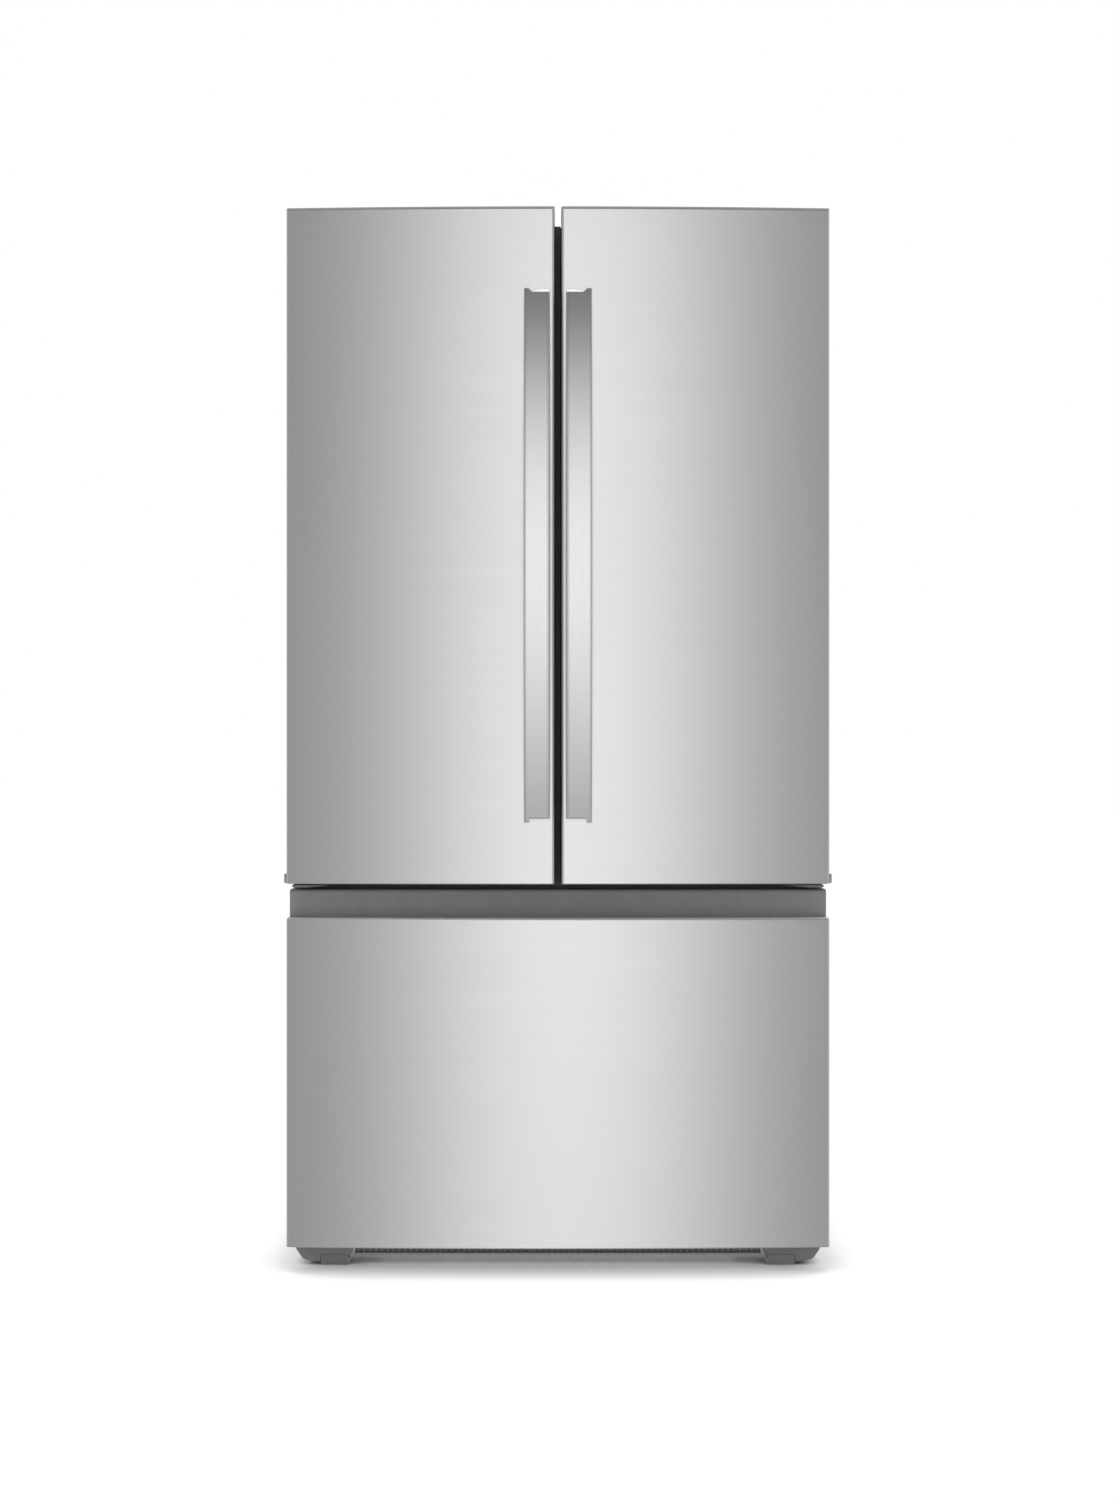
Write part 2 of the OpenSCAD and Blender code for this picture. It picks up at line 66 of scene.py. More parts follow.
# ------------------------------------------------------------------ materials


def node(nt, kind, **inputs):
    n = nt.nodes.new(kind)
    for k, v in inputs.items():
        key = k.replace("_", " ")
        if key in n.inputs:
            n.inputs[key].default_value = v
        else:
            setattr(n, k, v)
    return n


def base_mat(name, base, rough, metal=0.0, vary=0.05, scale=30.0, squash=(1, 1, 1), rvary=0.04,
             bump=0.0, bscale=400.0, bsquash=None, dist=0.0004, alpha=None, aniso=None, coat=0.0,
             transmission=0.0, ior=1.5, spec=None, tint=None, cells=0.0, wear=0.0):
    m = bpy.data.materials.new(name)
    m.use_nodes = True
    nt = m.node_tree
    p = nt.nodes["Principled BSDF"]
    L = nt.links.new
    p.inputs["Metallic"].default_value = metal
    p.inputs["IOR"].default_value = ior
    if coat:
        p.inputs["Coat Weight"].default_value = coat
        p.inputs["Coat Roughness"].default_value = 0.15
    if spec is not None:
        p.inputs["Specular IOR Level"].default_value = spec
    if transmission:
        p.inputs["Transmission Weight"].default_value = transmission
    tc = node(nt, "ShaderNodeTexCoord")
    mp = node(nt, "ShaderNodeMapping", Scale=squash)
    L(tc.outputs["Object"], mp.inputs["Vector"])
    if cells:
        n1 = node(nt, "ShaderNodeTexVoronoi", Scale=scale)
        src = n1.outputs["Color"]
        sep = node(nt, "ShaderNodeSeparateColor")
        L(src, sep.inputs["Color"])
        fac = sep.outputs[0]
    else:
        n1 = node(nt, "ShaderNodeTexNoise", Scale=scale, Detail=4.0, Roughness=0.55)
        fac = n1.outputs["Fac"]
    L(mp.outputs["Vector"], n1.inputs["Vector"])
    ramp = node(nt, "ShaderNodeValToRGB")
    b = list(base)
    t = tint or (1, 1, 1)
    ramp.color_ramp.elements[0].position = 0.25
    ramp.color_ramp.elements[1].position = 0.75
    ramp.color_ramp.elements[0].color = [min(1, c * (1 - vary)) for c in b] + [1]
    ramp.color_ramp.elements[1].color = [min(1, c * (1 + vary) * k) for c, k in zip(b, t)] + [1]
    L(fac, ramp.inputs["Fac"])
    col = ramp.outputs["Color"]
    if wear:
        geo = node(nt, "ShaderNodeNewGeometry")
        wr = node(nt, "ShaderNodeMapRange")
        wr.inputs["From Min"].default_value = 0.50
        wr.inputs["From Max"].default_value = 0.62
        wr.inputs["To Min"].default_value = 0.0
        wr.inputs["To Max"].default_value = wear
        L(geo.outputs["Pointiness"], wr.inputs["Value"])
        mx = node(nt, "ShaderNodeMix", data_type="RGBA")
        mx.inputs["B"].default_value = [min(1, c * 1.6 + 0.08) for c in b] + [1]
        for i in mx.inputs:
            if i.name == "B" and i.type == "RGBA":
                i.default_value = [min(1, c * 1.6 + 0.08) for c in b] + [1]
        ia = [i for i in mx.inputs if i.name == "A" and i.type == "RGBA"][0]
        L(col, ia)
        L(wr.outputs["Result"], mx.inputs["Factor"])
        col = [o for o in mx.outputs if o.type == "RGBA"][0]
    L(col, p.inputs["Base Color"])
    mp2 = node(nt, "ShaderNodeMapping", Scale=bsquash or squash)
    L(tc.outputs["Object"], mp2.inputs["Vector"])
    n2 = node(nt, "ShaderNodeTexNoise", Scale=bscale, Detail=3.0, Roughness=0.6)
    L(mp2.outputs["Vector"], n2.inputs["Vector"])
    mr = node(nt, "ShaderNodeMapRange")
    mr.inputs["From Min"].default_value = 0.3
    mr.inputs["From Max"].default_value = 0.7
    mr.inputs["To Min"].default_value = max(0.02, rough - rvary)
    mr.inputs["To Max"].default_value = min(1.0, rough + rvary)
    L(n2.outputs["Fac"], mr.inputs["Value"])
    L(mr.outputs["Result"], p.inputs["Roughness"])
    if bump:
        bp = node(nt, "ShaderNodeBump", Strength=bump, Distance=dist)
        L(n2.outputs["Fac"], bp.inputs["Height"])
        L(bp.outputs["Normal"], p.inputs["Normal"])
    if aniso is not None:
        p.inputs["Anisotropic"].default_value = aniso
        tg = node(nt, "ShaderNodeTangent", direction_type="UV_MAP", uv_map="brush")
        L(tg.outputs["Tangent"], p.inputs["Tangent"])
    if alpha is not None:
        p.inputs["Alpha"].default_value = alpha
        m.surface_render_method = "BLENDED" if hasattr(m, "surface_render_method") else m.blend_method
    return m


M = {}
M["stainless"] = base_mat("stainless_brushed", (0.66, 0.66, 0.663), 0.30, metal=1.0, vary=0.012, scale=3.0,
                          squash=(0.6, 0.6, 260.0), rvary=0.02, bump=0.06, bscale=3.0, bsquash=(0.8, 0.8, 420.0),
                          dist=0.00006, aniso=0.88)
M["stainless_handle"] = base_mat("stainless_handle", (0.64, 0.64, 0.643), 0.24, metal=1.0, vary=0.012, scale=3.0,
                                 squash=(300.0, 300.0, 0.6), rvary=0.015, bump=0.04, bscale=3.0,
                                 bsquash=(420.0, 420.0, 0.8), dist=0.00005, aniso=0.71)
M["handle_end"] = base_mat("handle_end", (0.62, 0.62, 0.622), 0.22, metal=1.0, vary=0.012, scale=30.0,
                           rvary=0.015, bump=0.02, bscale=300.0, dist=0.00003)
# painted shade: dark grey for the strip that stands in for the shade deep in the door gap
M["gap_shade_rubber"] = base_mat("gap_shade_rubber", (0.125, 0.125, 0.127), 0.6, vary=0.06, scale=40, rvary=0.05,
                            bump=0.1, bscale=600, dist=0.0002)
M["painted_grey"] = base_mat("painted_grey", (0.135, 0.136, 0.14), 0.46, vary=0.05, scale=18, rvary=0.05,
                             bump=0.22, bscale=900, dist=0.0003, wear=0.15)
M["foam"] = base_mat("foam", (0.80, 0.70, 0.46), 0.9, vary=0.10, scale=140, bump=0.5, bscale=500, dist=0.001)
M["liner_white"] = base_mat("liner_white", (0.80, 0.81, 0.815), 0.28, vary=0.015, scale=9, rvary=0.04,
                            bump=0.05, bscale=350, dist=0.0002, coat=0.1)
M["galvanised_steel"] = base_mat("galvanised_steel", (0.47, 0.48, 0.49), 0.42, metal=0.80, vary=0.055, scale=150,
                                 rvary=0.07, bump=0.05, bscale=160, dist=0.0002, cells=1.0)
M["back_sheet"] = base_mat("back_sheet", (0.40, 0.41, 0.42), 0.44, metal=0.55, vary=0.05, scale=130,
                           rvary=0.07, bump=0.05, bscale=160, dist=0.0002, cells=1.0)
M["black_metal"] = base_mat("black_metal", (0.025, 0.025, 0.027), 0.42, vary=0.15, scale=40, rvary=0.08,
                            bump=0.15, bscale=700, dist=0.0002, wear=0.12)
M["black_plastic"] = base_mat("black_plastic", (0.03, 0.03, 0.032), 0.5, vary=0.12, scale=60, rvary=0.08,
                              bump=0.18, bscale=1100, dist=0.0002)
M["coil_aluminium"] = base_mat("coil_aluminium", (0.72, 0.73, 0.74), 0.35, metal=1.0, vary=0.08, scale=50,
                               rvary=0.08, bump=0.06, bscale=300, dist=0.0002)
M["white_plastic"] = base_mat("white_plastic", (0.78, 0.79, 0.80), 0.38, vary=0.02, scale=20, rvary=0.05,
                              bump=0.08, bscale=800, dist=0.0002)
M["lens"] = base_mat("lens", (0.92, 0.92, 0.90), 0.22, vary=0.02, scale=30, bump=0.10, bscale=500, dist=0.0002,
                     spec=0.6)
M["shelf_glass"] = base_mat("shelf_glass", (0.70, 0.86, 0.83), 0.04, vary=0.03, scale=6, rvary=0.02, alpha=0.30,
                            spec=0.7)
M["clear_plastic"] = base_mat("clear_plastic", (0.80, 0.87, 0.90), 0.10, vary=0.03, scale=8, rvary=0.04,
                              alpha=0.34, spec=0.6)
M["cap_grey"] = base_mat("cap_grey", (0.27, 0.27, 0.272), 0.42, vary=0.05, scale=50, rvary=0.06,
                         bump=0.12, bscale=1000, dist=0.0002)
M["trim_grey"] = base_mat("trim_grey", (0.10, 0.10, 0.102), 0.5, vary=0.06, scale=50, rvary=0.06,
                          bump=0.15, bscale=1000, dist=0.00025)
M["grey_plastic"] = base_mat("grey_plastic", (0.205, 0.205, 0.208), 0.5, vary=0.06, scale=50, rvary=0.06,
                             bump=0.15, bscale=1000, dist=0.00025)
M["leg_plastic"] = base_mat("leg_plastic", (0.19, 0.19, 0.192), 0.5, vary=0.08, scale=70, rvary=0.06,
                            bump=0.2, bscale=900, dist=0.0003)
M["foot_plastic"] = base_mat("foot_plastic", (0.168, 0.168, 0.170), 0.5, vary=0.08, scale=70, rvary=0.06,
                             bump=0.2, bscale=900, dist=0.0003)
M["roller_plastic"] = base_mat("roller_plastic", (0.04, 0.04, 0.042), 0.55, vary=0.1, scale=90, rvary=0.06,
                               bump=0.15, bscale=900, dist=0.0002)
M["gasket_rubber"] = base_mat("gasket_rubber", (0.30, 0.30, 0.305), 0.62, vary=0.05, scale=60, rvary=0.05,
                              bump=0.12, bscale=900, dist=0.0002)
M["zinc_screw"] = base_mat("zinc_screw", (0.62, 0.63, 0.64), 0.32, metal=1.0, vary=0.08, scale=300, rvary=0.06,
                           bump=0.05, bscale=900, dist=0.0001)

# ------------------------------------------------------------------ mesh tools, all in millimetres

YC = -395.5 + 6000


def bow(x, t=0.0):
    return YC - sqrt((6000 - t) ** 2 - x * x)


def plan(xa, xb, yb, t, r, n, nc=6):
    r = max(0.3, r)
    out = [(xa + t, yb)]
    y0 = bow(xa + t + r, t) + r
    out += [(xa + t + r + r * cos(pi + pi / 2 * k / nc), y0 + r * sin(pi + pi / 2 * k / nc)) for k in range(nc + 1)]
    xs = xa + t + r
    w = xb - xa - 2 * t - 2 * r
    out += [(xs + e, bow(xs + e, t)) for e in [0.9] + [w * i / n for i in range(1, n)] + [w - 0.9]]
    y1 = bow(xb - t - r, t) + r
    out += [(xb - t - r + r * cos(1.5 * pi + pi / 2 * k / nc), y1 + r * sin(1.5 * pi + pi / 2 * k / nc))
            for k in range(nc + 1)]
    out += [(xb - t, yb)]
    return out


class Part:
    def __init__(self):
        self.v, self.f = [], []

    def add(self, verts, faces):
        o = len(self.v)
        self.v += list(verts)
        self.f += [tuple(i + o for i in f) for f in faces]
        return self

    def loft(self, rings, caps=(True, True), loop=False):
        n, m = len(rings[0]), len(rings)
        faces = []
        for j in range(m if loop else m - 1):
            a, b = j * n, ((j + 1) % m) * n
            for i in range(n):
                k = (i + 1) % n
                faces.append((a + i, a + k, b + k, b + i))
        if not loop:
            if caps[0]:
                faces.append(tuple(range(n))[::-1])
            if caps[1]:
                faces.append(tuple((m - 1) * n + i for i in range(n)))
        return self.add([p for r in rings for p in r], faces)

    def box(self, x0, x1, y0, y1, z0, z1):
        return self.loft([[(x0, y0, z), (x1, y0, z), (x1, y1, z), (x0, y1, z)] for z in (z0, z1)])

    def rod(self, a, b, r, seg=16, ch=0.0):
        """Round bar from a to b with chamfered ends."""
        d = [b[i] - a[i] for i in range(3)]
        L = sqrt(sum(c * c for c in d))
        d = [c / L for c in d]
        u = (0, 0, 1) if abs(d[2]) < 0.9 else (1, 0, 0)
        e = [d[1] * u[2] - d[2] * u[1], d[2] * u[0] - d[0] * u[2], d[0] * u[1] - d[1] * u[0]]
        k = sqrt(sum(c * c for c in e))
        e = [c / k for c in e]
        g = [d[1] * e[2] - d[2] * e[1], d[2] * e[0] - d[0] * e[2], d[0] * e[1] - d[1] * e[0]]
        rows = [(0, r - ch), (ch, r), (L - ch, r), (L, r - ch)] if ch else [(0, r), (L, r)]
        rings = []
        for h, rr in rows:
            rings.append([tuple(a[i] + d[i] * h + rr * (e[i] * cos(2 * pi * s / seg) + g[i] * sin(2 * pi * s / seg))
                                for i in range(3)) for s in range(seg)])
        return self.loft(rings)

    def lathe(self, o, axis, prof, seg=32, loop=False):
        """prof is a list of (height, radius) along the axis from o."""
        rings = []
        for h, r in prof:
            ring = []
            for s in range(seg):
                c, q = r * cos(2 * pi * s / seg), r * sin(2 * pi * s / seg)
                if axis == "z":
                    ring.append((o[0] + c, o[1] + q, o[2] + h))
                elif axis == "y":
                    ring.append((o[0] + c, o[1] + h, o[2] + q))
                else:
                    ring.append((o[0] + h, o[1] + c, o[2] + q))
            rings.append(ring)
        return self.loft(rings, loop=loop)

    def rr(self, axis, rows, n=5, loop=False, caps=(True, True)):
        """Loft of rounded rectangles: rows of (height, a0, a1, b0, b1, r)."""
        return self.loft([rring(axis, *row, n=n) for row in rows], loop=loop, caps=caps)

    def tube(self, pts, r, seg=8, closed=False):
        """Round wire along points."""
        n = len(pts)
        rings = []
        prev = None
        for i, p in enumerate(pts):
            a = pts[(i - 1) % n] if (closed or i) else pts[0]
            b = pts[(i + 1) % n] if (closed or i < n - 1) else pts[-1]
            d = [b[k] - a[k] for k in range(3)]
            L = sqrt(sum(c * c for c in d)) or 1
            d = [c / L for c in d]
            u = prev or ((0, 0, 1) if abs(d[2]) < 0.7 else (1, 0, 0) if abs(d[0]) < 0.7 else (0, 1, 0))
            dot = sum(u[k] * d[k] for k in range(3))
            e = [u[k] - dot * d[k] for k in range(3)]
            k_ = sqrt(sum(c * c for c in e)) or 1
            e = [c / k_ for c in e]
            prev = tuple(e)
            g = [d[1] * e[2] - d[2] * e[1], d[2] * e[0] - d[0] * e[2], d[0] * e[1] - d[1] * e[0]]
            rings.append([tuple(p[k] + r * (e[k] * cos(2 * pi * s / seg) + g[k] * sin(2 * pi * s / seg))
                                for k in range(3)) for s in range(seg)])
        return self.loft(rings, loop=closed)

    def hexhead(self, p, axis, r=3.6, h=1.3):
        """Small hex washer head screw, its seat at p, standing out along the signed axis."""
        s = 1 if axis[0] == "+" else -1
        a = axis[1]
        self.lathe(p, a, [(0, r * 1.35), (s * h * 0.25, r * 1.3), (s * h * 0.3, r * 0.9)], seg=18)
        self.lathe(p, a, [(0, r * 0.86), (s * h * 0.85, r * 0.86), (s * h, r * 0.7)], seg=6)
        return self

    def mirrored(self):
        q = Part()
        q.v = [(-x, y, z) for x, y, z in self.v]
        q.f = [f[::-1] for f in self.f]
        return q

    def join(self, other):
        return self.add(other.v, other.f)


def rring(axis, h, a0, a1, b0, b1, r, n=5):
    r = max(0.05, min(r, (a1 - a0) / 2 - 0.01, (b1 - b0) / 2 - 0.01))
    pts = []
    for cx_, cy_, s in ((a1 - r, b1 - r, 0), (a0 + r, b1 - r, 1), (a0 + r, b0 + r, 2), (a1 - r, b0 + r, 3)):
        for k in range(n + 1):
            t = pi / 2 * (s + k / n)
            pts.append((cx_ + r * cos(t), cy_ + r * sin(t)))
    if axis == "z":
        return [(a, b, h) for a, b in pts]
    if axis == "y":
        return [(a, h, b) for a, b in pts]
    return [(h, a, b) for a, b in pts]


def quarter(n=4):
    """(inset, drop) pairs of a unit quarter round, from the flat to the side."""
    return [(1 - sin(pi / 2 * k / n), 1 - cos(pi / 2 * k / n)) for k in range(n + 1)]


def build(name, part, mat, body, nodes=(), bevel=0.0, seg=2, sharp=32, angle=34, across=False):
    me = bpy.data.meshes.new(name)
    me.from_pydata([(x / 1000, y / 1000, z / 1000) for x, y, z in part.v], [], part.f)
    bm = bmesh.new()
    bm.from_mesh(me)
    bmesh.ops.remove_doubles(bm, verts=bm.verts, dist=2e-6)
    bmesh.ops.dissolve_degenerate(bm, edges=bm.edges, dist=1e-6)
    bmesh.ops.recalc_face_normals(bm, faces=bm.faces)
    lay = bm.loops.layers.uv.new("brush")
    for f in bm.faces:
        for lp in f.loops:
            c = lp.vert.co
            if across:
                lp[lay].uv = (c.x * 2 + 0.3 * c.y, c.z + 0.6 * c.y)
            else:
                lp[lay].uv = (c.z * 2 + 0.3 * c.y, c.x + 0.6 * c.y)
    bm.to_mesh(me)
    bm.free()
    me.materials.append(mat)
    me.shade_smooth()
    ob = bpy.data.objects.new(name, me)
    bpy.context.scene.collection.objects.link(ob)
    if bevel:
        b = ob.modifiers.new("bevel", "BEVEL")
        b.width = bevel / 1000
        b.segments = seg
        b.limit_method = "ANGLE"
        b.angle_limit = radians(angle)
        b.harden_normals = True
        b.use_clamp_overlap = True
    else:
        me.set_sharp_from_angle(angle=radians(sharp))
    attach(ob, body)
    if nodes:
        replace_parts(ob, *nodes)
    return ob


def keep(name, mat, bevel=0.8, seg=2, angle=34):
    """A CAD node that stays: material, weld, soft edges."""
    o = NODES[name]
    me = o.data
    me.materials.clear()
    me.materials.append(mat)
    for a in ("custom_normal", "sharp_edge", "sharp_face"):
        at = me.attributes.get(a)
        if at is not None:
            me.attributes.remove(at)
    me.shade_smooth()
    w = o.modifiers.new("weld", "WELD")
    w.merge_threshold = 1e-5
    d = o.modifiers.new("flat", "DECIMATE")
    d.decimate_type = "DISSOLVE"
    d.angle_limit = radians(0.5)
    b = o.modifiers.new("bevel", "BEVEL")
    b.width = bevel / 1000
    b.segments = seg
    b.limit_method = "ANGLE"
    b.angle_limit = radians(angle)
    b.harden_normals = True
    b.use_clamp_overlap = True
    return o


# ------------------------------------------------------------------ doors


def skin_part(xa, xb, yb, z0, z1, notch, n):
    """Formed sheet: bowed front, rounded vertical corners, rolled top and bottom edges."""
    outer = [(0.0, 1.4), (0.2, 0.6), (0.7, 0.15), (1.6, 0.0), (2.4, 0.0)]
    rows = [(z0 + d, t) for d, t in outer] + [(z1 - d, t) for d, t in reversed(outer)]
    inner = [(z1 - 1.0, 3.2), (z1 - 2.2, 1.6), (z1 - 4, 1.2), (z0 + 4, 1.2), (z0 + 2.2, 1.6), (z0 + 1.0, 3.2)]
    loops = []
    for z, t in rows + inner:
        pts = plan(xa, xb, yb + (0 if t < 1.2 else 0.0), t, 4 - min(t, 3.6), n)
        # extra points where the hinge notch starts, on the outer side
        a = pts[0]
        extra = [(a[0], yb), (a[0], -369.8), (a[0], -370.2)] if notch == "left" else [(a[0], yb)]
        b = pts[-1]
        pts = extra + pts[1:-1] + [b]
        ring = []
        for i, (x, y) in enumerate(pts):
            zz = z
            if notch == "left" and i < 2 and z > z1 - 30:
                zz = z - (z1 - 1752)
            ring.append((x, y, zz))
        loops.append(ring)
    # turn rows of plan points into loops of rows
    sections = [[row[i] for row in loops] for i in range(len(loops[0]))]
    return Part().loft(sections)


skin = skin_part(-454, -5.5, -308, 651.5, 1778, "left", 44)
build("left_door_front", skin, M["stainless"], "left_door", ["left_door_skin"], sharp=50)
build("right_door_front", skin.mirrored(), M["stainless"], "right_door", ["right_door_skin"], sharp=50)

HZ0, HZ1 = 755.0, 1642.5
HZC, HH = (HZ0 + HZ1) / 2, (HZ1 - HZ0) / 2
HSAG = 57 - 16
HR = (HH * HH + HSAG * HSAG) / (2 * HSAG)
HYC = -395.5 - 57 + HR


def face_y(z, t=0.0):
    return HYC - sqrt((HR - t) ** 2 - (z - HZC) ** 2)


def handle_part():
    """Bowed strap with a filleted inner edge, a stepped outer flange and a foot at each end."""
    p = Part()

    def back(z, reach):
        """Back face: the strap's thickness in the span, down to the door at the feet."""
        yb = face_y(z, 13.2) if abs(z - HZC) < HH - 8 else face_y(z) + 13.0
        k = min(1.0, max(0.0, (abs(z - HZC) - (HH - 62)) / 12.0))
        k = k * k * (3 - 2 * k)
        return yb + (max(reach, yb) - yb) * k

    def strip(x0, x1, za, zb, top, n=64, d0=0.0, e0=1.6):
        """top is the face profile across x: (share of width, depth)."""
        zs = [za, za + 0.25 * e0, za + e0, za + e0 + 0.9, zb - e0 - 0.9]
        zs += [za + e0 + (zb - za - 2 * e0) * i / n for i in range(1, n)]
        zs += [zb - e0, zb - 0.25 * e0, zb]
        # closer rows where the feet start
        for s in (1, -1):
            for q in (48, 52, 56, 60, 64):
                zs.append((HZ0 + q) if s > 0 else (HZ1 - q))
        zs = sorted(set(round(z, 3) for z in zs))
        rings = []
        for z in zs:
            e = min(z - za, zb - z)
            roll = 0.0 if e >= e0 else e0 * (1 - sqrt(max(0.0, 1 - (1 - e / e0) ** 2)))
            ring = []
            for x, d in top:
                ring.append((x, face_y(z) + d0 + d + roll, z))
            yb = min(back(z, -395.3 + 0.6), -395.0)
            ring.append((x1 - 1.2, yb, z))
            ring.append((x0 + 1.2, yb, z))
            rings.append(ring)
        return p.loft(rings)

    xi, xm, xo = 13.5, 48.2, 56.5
    # main strap, mirrored to the left by the caller
    prof = [(xi, 11.5), (xi, 2.0), (xi + 0.2, 1.2), (xi + 0.6, 0.6), (xi + 1.2, 0.2), (xi + 2.0, 0.0)]
    prof += [(xi + 2.0 + (xm - xi - 2.0) * i / 6, 0.0) for i in range(1, 7)]
    prof += [(xm, 4.0), (xm, 11.5)]
    strip(xi, xm, HZ0 + 6.5, HZ1 - 6.4, prof, e0=1.0)
    prof = [(xm, 11.5), (xm, 4.0), (xm, 0.0), (xm + 2.5, 0.0), (xo - 1.9, 0.0), (xo - 1.1, 0.2), (xo - 0.5, 0.6),
            (xo - 0.15, 1.2), (xo, 2.0), (xo, 11.5)]
    strip(xm, xo, HZ0 + 0.1, HZ1 - 0.1, prof, e0=1.2)
    # sloped shoulder from the flange down to the strap at the upper end
    rings = []
    for x, zt in ((xm - 5.0, HZ1 - 6.2), (xm + 0.6, HZ1 - 0.7)):
        rings.append([(x, face_y(HZ1 - 8) + 0.05, HZ1 - 8.5), (x, face_y(zt) + 0.05, zt - 0.5), (x, face_y(zt) + 0.5, zt),
                      (x, face_y(zt) + 9, zt), (x, face_y(zt) + 9, HZ1 - 8.5)])
    p.loft(rings)
    return p


hp = handle_part()
ep = Part()
rings = []
for x, zt in ((14.9, HZ1 - 2.0), (15.6, HZ1 - 1.6), (30.0, HZ1 - 1.8), (42.6, HZ1 - 4.6)):
    y = face_y(HZ1 - 5)
    rings.append([(x, y + 2.6, HZ1 - 8.0), (x, y + 2.25, zt - 0.5), (x, y + 2.7, zt), (x, y + 10, zt), (x, y + 10, HZ1 - 8.0)])
ep.loft(rings)
build("right_handle_end", ep, M["handle_end"], "right_door", (), sharp=30, across=True)
build("left_handle_end", ep.mirrored(), M["handle_end"], "left_door", (), sharp=30, across=True)
build("right_pull_handle", hp, M["stainless_handle"], "right_door", ["right_handle"], sharp=40, across=True)
build("left_pull_handle", hp.mirrored(), M["stainless_handle"], "left_door", ["left_handle"], sharp=40, across=True)

# Painted shade: a dark strip across the back of the door gap stands in for the shade deep in the gap.
p = Part()
lip = [(-5.5, -317.0), (-4.9, -316.6), (-4.7, -311.6), (-2.0, -310.9), (1.6, -310.9), (4.1, -310.5), (4.5, -310.0), (4.1, -309.5),
       (-4.6, -308.7), (-5.5, -308.7)]
p.loft([[(x, y, z) for x, y in lip] for z in (652.6, 652.9, 1763.0, 1763.4)])
build("gap_shade_strip", p, M["gap_shade_rubber"], "left_door", (), sharp=35)
keep("left_door_caps", M["cap_grey"], 0.9)
keep("right_door_caps", M["cap_grey"], 0.9)
keep("left_door_core", M["foam"], 0.5)
keep("right_door_core", M["foam"], 0.5)


def door_liner_part(x0, x1):
    p = Part()
    a, b = 655.5, 1751.5
    # one formed sheet: flange, dike wall, dike top, inner wall, inner floor
    rows = [(-310.9, x0, x1, a, b, 5), (-309.0, x0, x1, a, b, 5), (-308.1, x0 + 0.9, x1 - 0.9, a + 0.9, b - 0.9, 4.5)]
    o = (-394 + 0.3, -48 - 0.3, 690 + 0.3, 1680 - 0.3) if x0 < 0 else (48.3, 393.7, 690.3, 1679.7)

    def at(y, d, r):
        rows.append((y, o[0] + d, o[1] - d, o[2] + d, o[3] - d, r))

    at(-308.0, -5.0, 20)
    at(-307.2, -2.2, 18)
    at(-304.5, -0.3, 16)
    at(-300.0, 0.0, 16)
    at(-268.0, 1.2, 15)
    at(-264.4, 2.0, 14)
    at(-262.6, 4.2, 12)
    at(-262.1, 6.6, 10)
    at(-262.1, 10.0, 8)
    at(-262.8, 12.2, 7)
    at(-265.0, 14.0, 6)
    at(-270.0, 14.6, 5.5)
    at(-302.0, 15.2, 5)
    at(-306.4, 16.6, 6)
    at(-307.6, 20.0, 8)
    at(-307.8, 26.0, 12)
    p.rr("y", rows, n=6)
    return p


def dike_details(p, s, zs):
    """Bin bosses on the inner sides of the dike."""
    for z in zs:
        for x in (-1, 1):
            cxm = s * 221 + x * 156.2
            p.rr("x", [(cxm, -296, -276, z, z + 26, 4), (cxm - x * 1.6, -294.5, -277.5, z + 1.5, z + 24.5, 3.5)], n=3)
    return p


p = door_liner_part(-451, -8)
dike_details(p, -1, [862, 895, 1158, 1190, 1468, 1500])
for z in (1674, 687.5):
    p.rr("z", [(z, -52, -23, -289, -270, 3), (z + 0.4, -52.4, -22.6, -289, -269.6, 3), (z + 3.6, -52.4, -22.6, -289, -269.6, 3),
               (z + 4, -52, -23, -289, -270, 3)])
p.rod((-30, -279.5, 1662), (-30, -279.5, 1675), 3, 18, 0.5)
p.rod((-30, -279.5, 691), (-30, -279.5, 704), 3, 18, 0.5)
build("left_inner_panel", p, M["liner_white"], "left_door", ["left_door_liner"], sharp=40)
p = door_liner_part(8, 451)
dike_details(p, 1, [862, 895, 1240, 1275])
build("right_inner_panel", p, M["liner_white"], "right_door", ["right_door_liner"], sharp=40)


def gasket_part(x0, x1, z0, z1, w=14):
    """Hollow magnetic gasket: flat root, pinched bellows and the rounded magnet bulb."""
    prof = [(-308.0, 2.0), (-308.0, 12.0), (-306.6, 12.4), (-305.2, 11.6), (-303.8, 10.2), (-302.0, 10.6), (-300.4, 12.6),
            (-298.6, 13.6), (-296.6, 13.9), (-295.0, 13.2), (-294.1, 11.6), (-294.0, 7.0), (-294.1, 2.6), (-295.0, 0.9),
            (-296.6, 0.1), (-298.6, 0.4), (-300.4, 1.4), (-302.0, 3.4), (-303.8, 3.8), (-305.2, 2.4), (-306.6, 1.6)]
    rows = [(y, x0 + d, x1 - d, z0 + d, z1 - d, max(1.2, 9 - d * 0.5)) for y, d in prof]
    return Part().rr("y", rows, n=4, loop=True)


build("left_seal", gasket_part(-424, -12, 658, 1726), M["gasket_rubber"], "left_door", ["left_door_gasket"],
      sharp=60)
build("right_seal", gasket_part(12, 424, 658, 1726), M["gasket_rubber"], "right_door", ["right_door_gasket"],
      sharp=60)


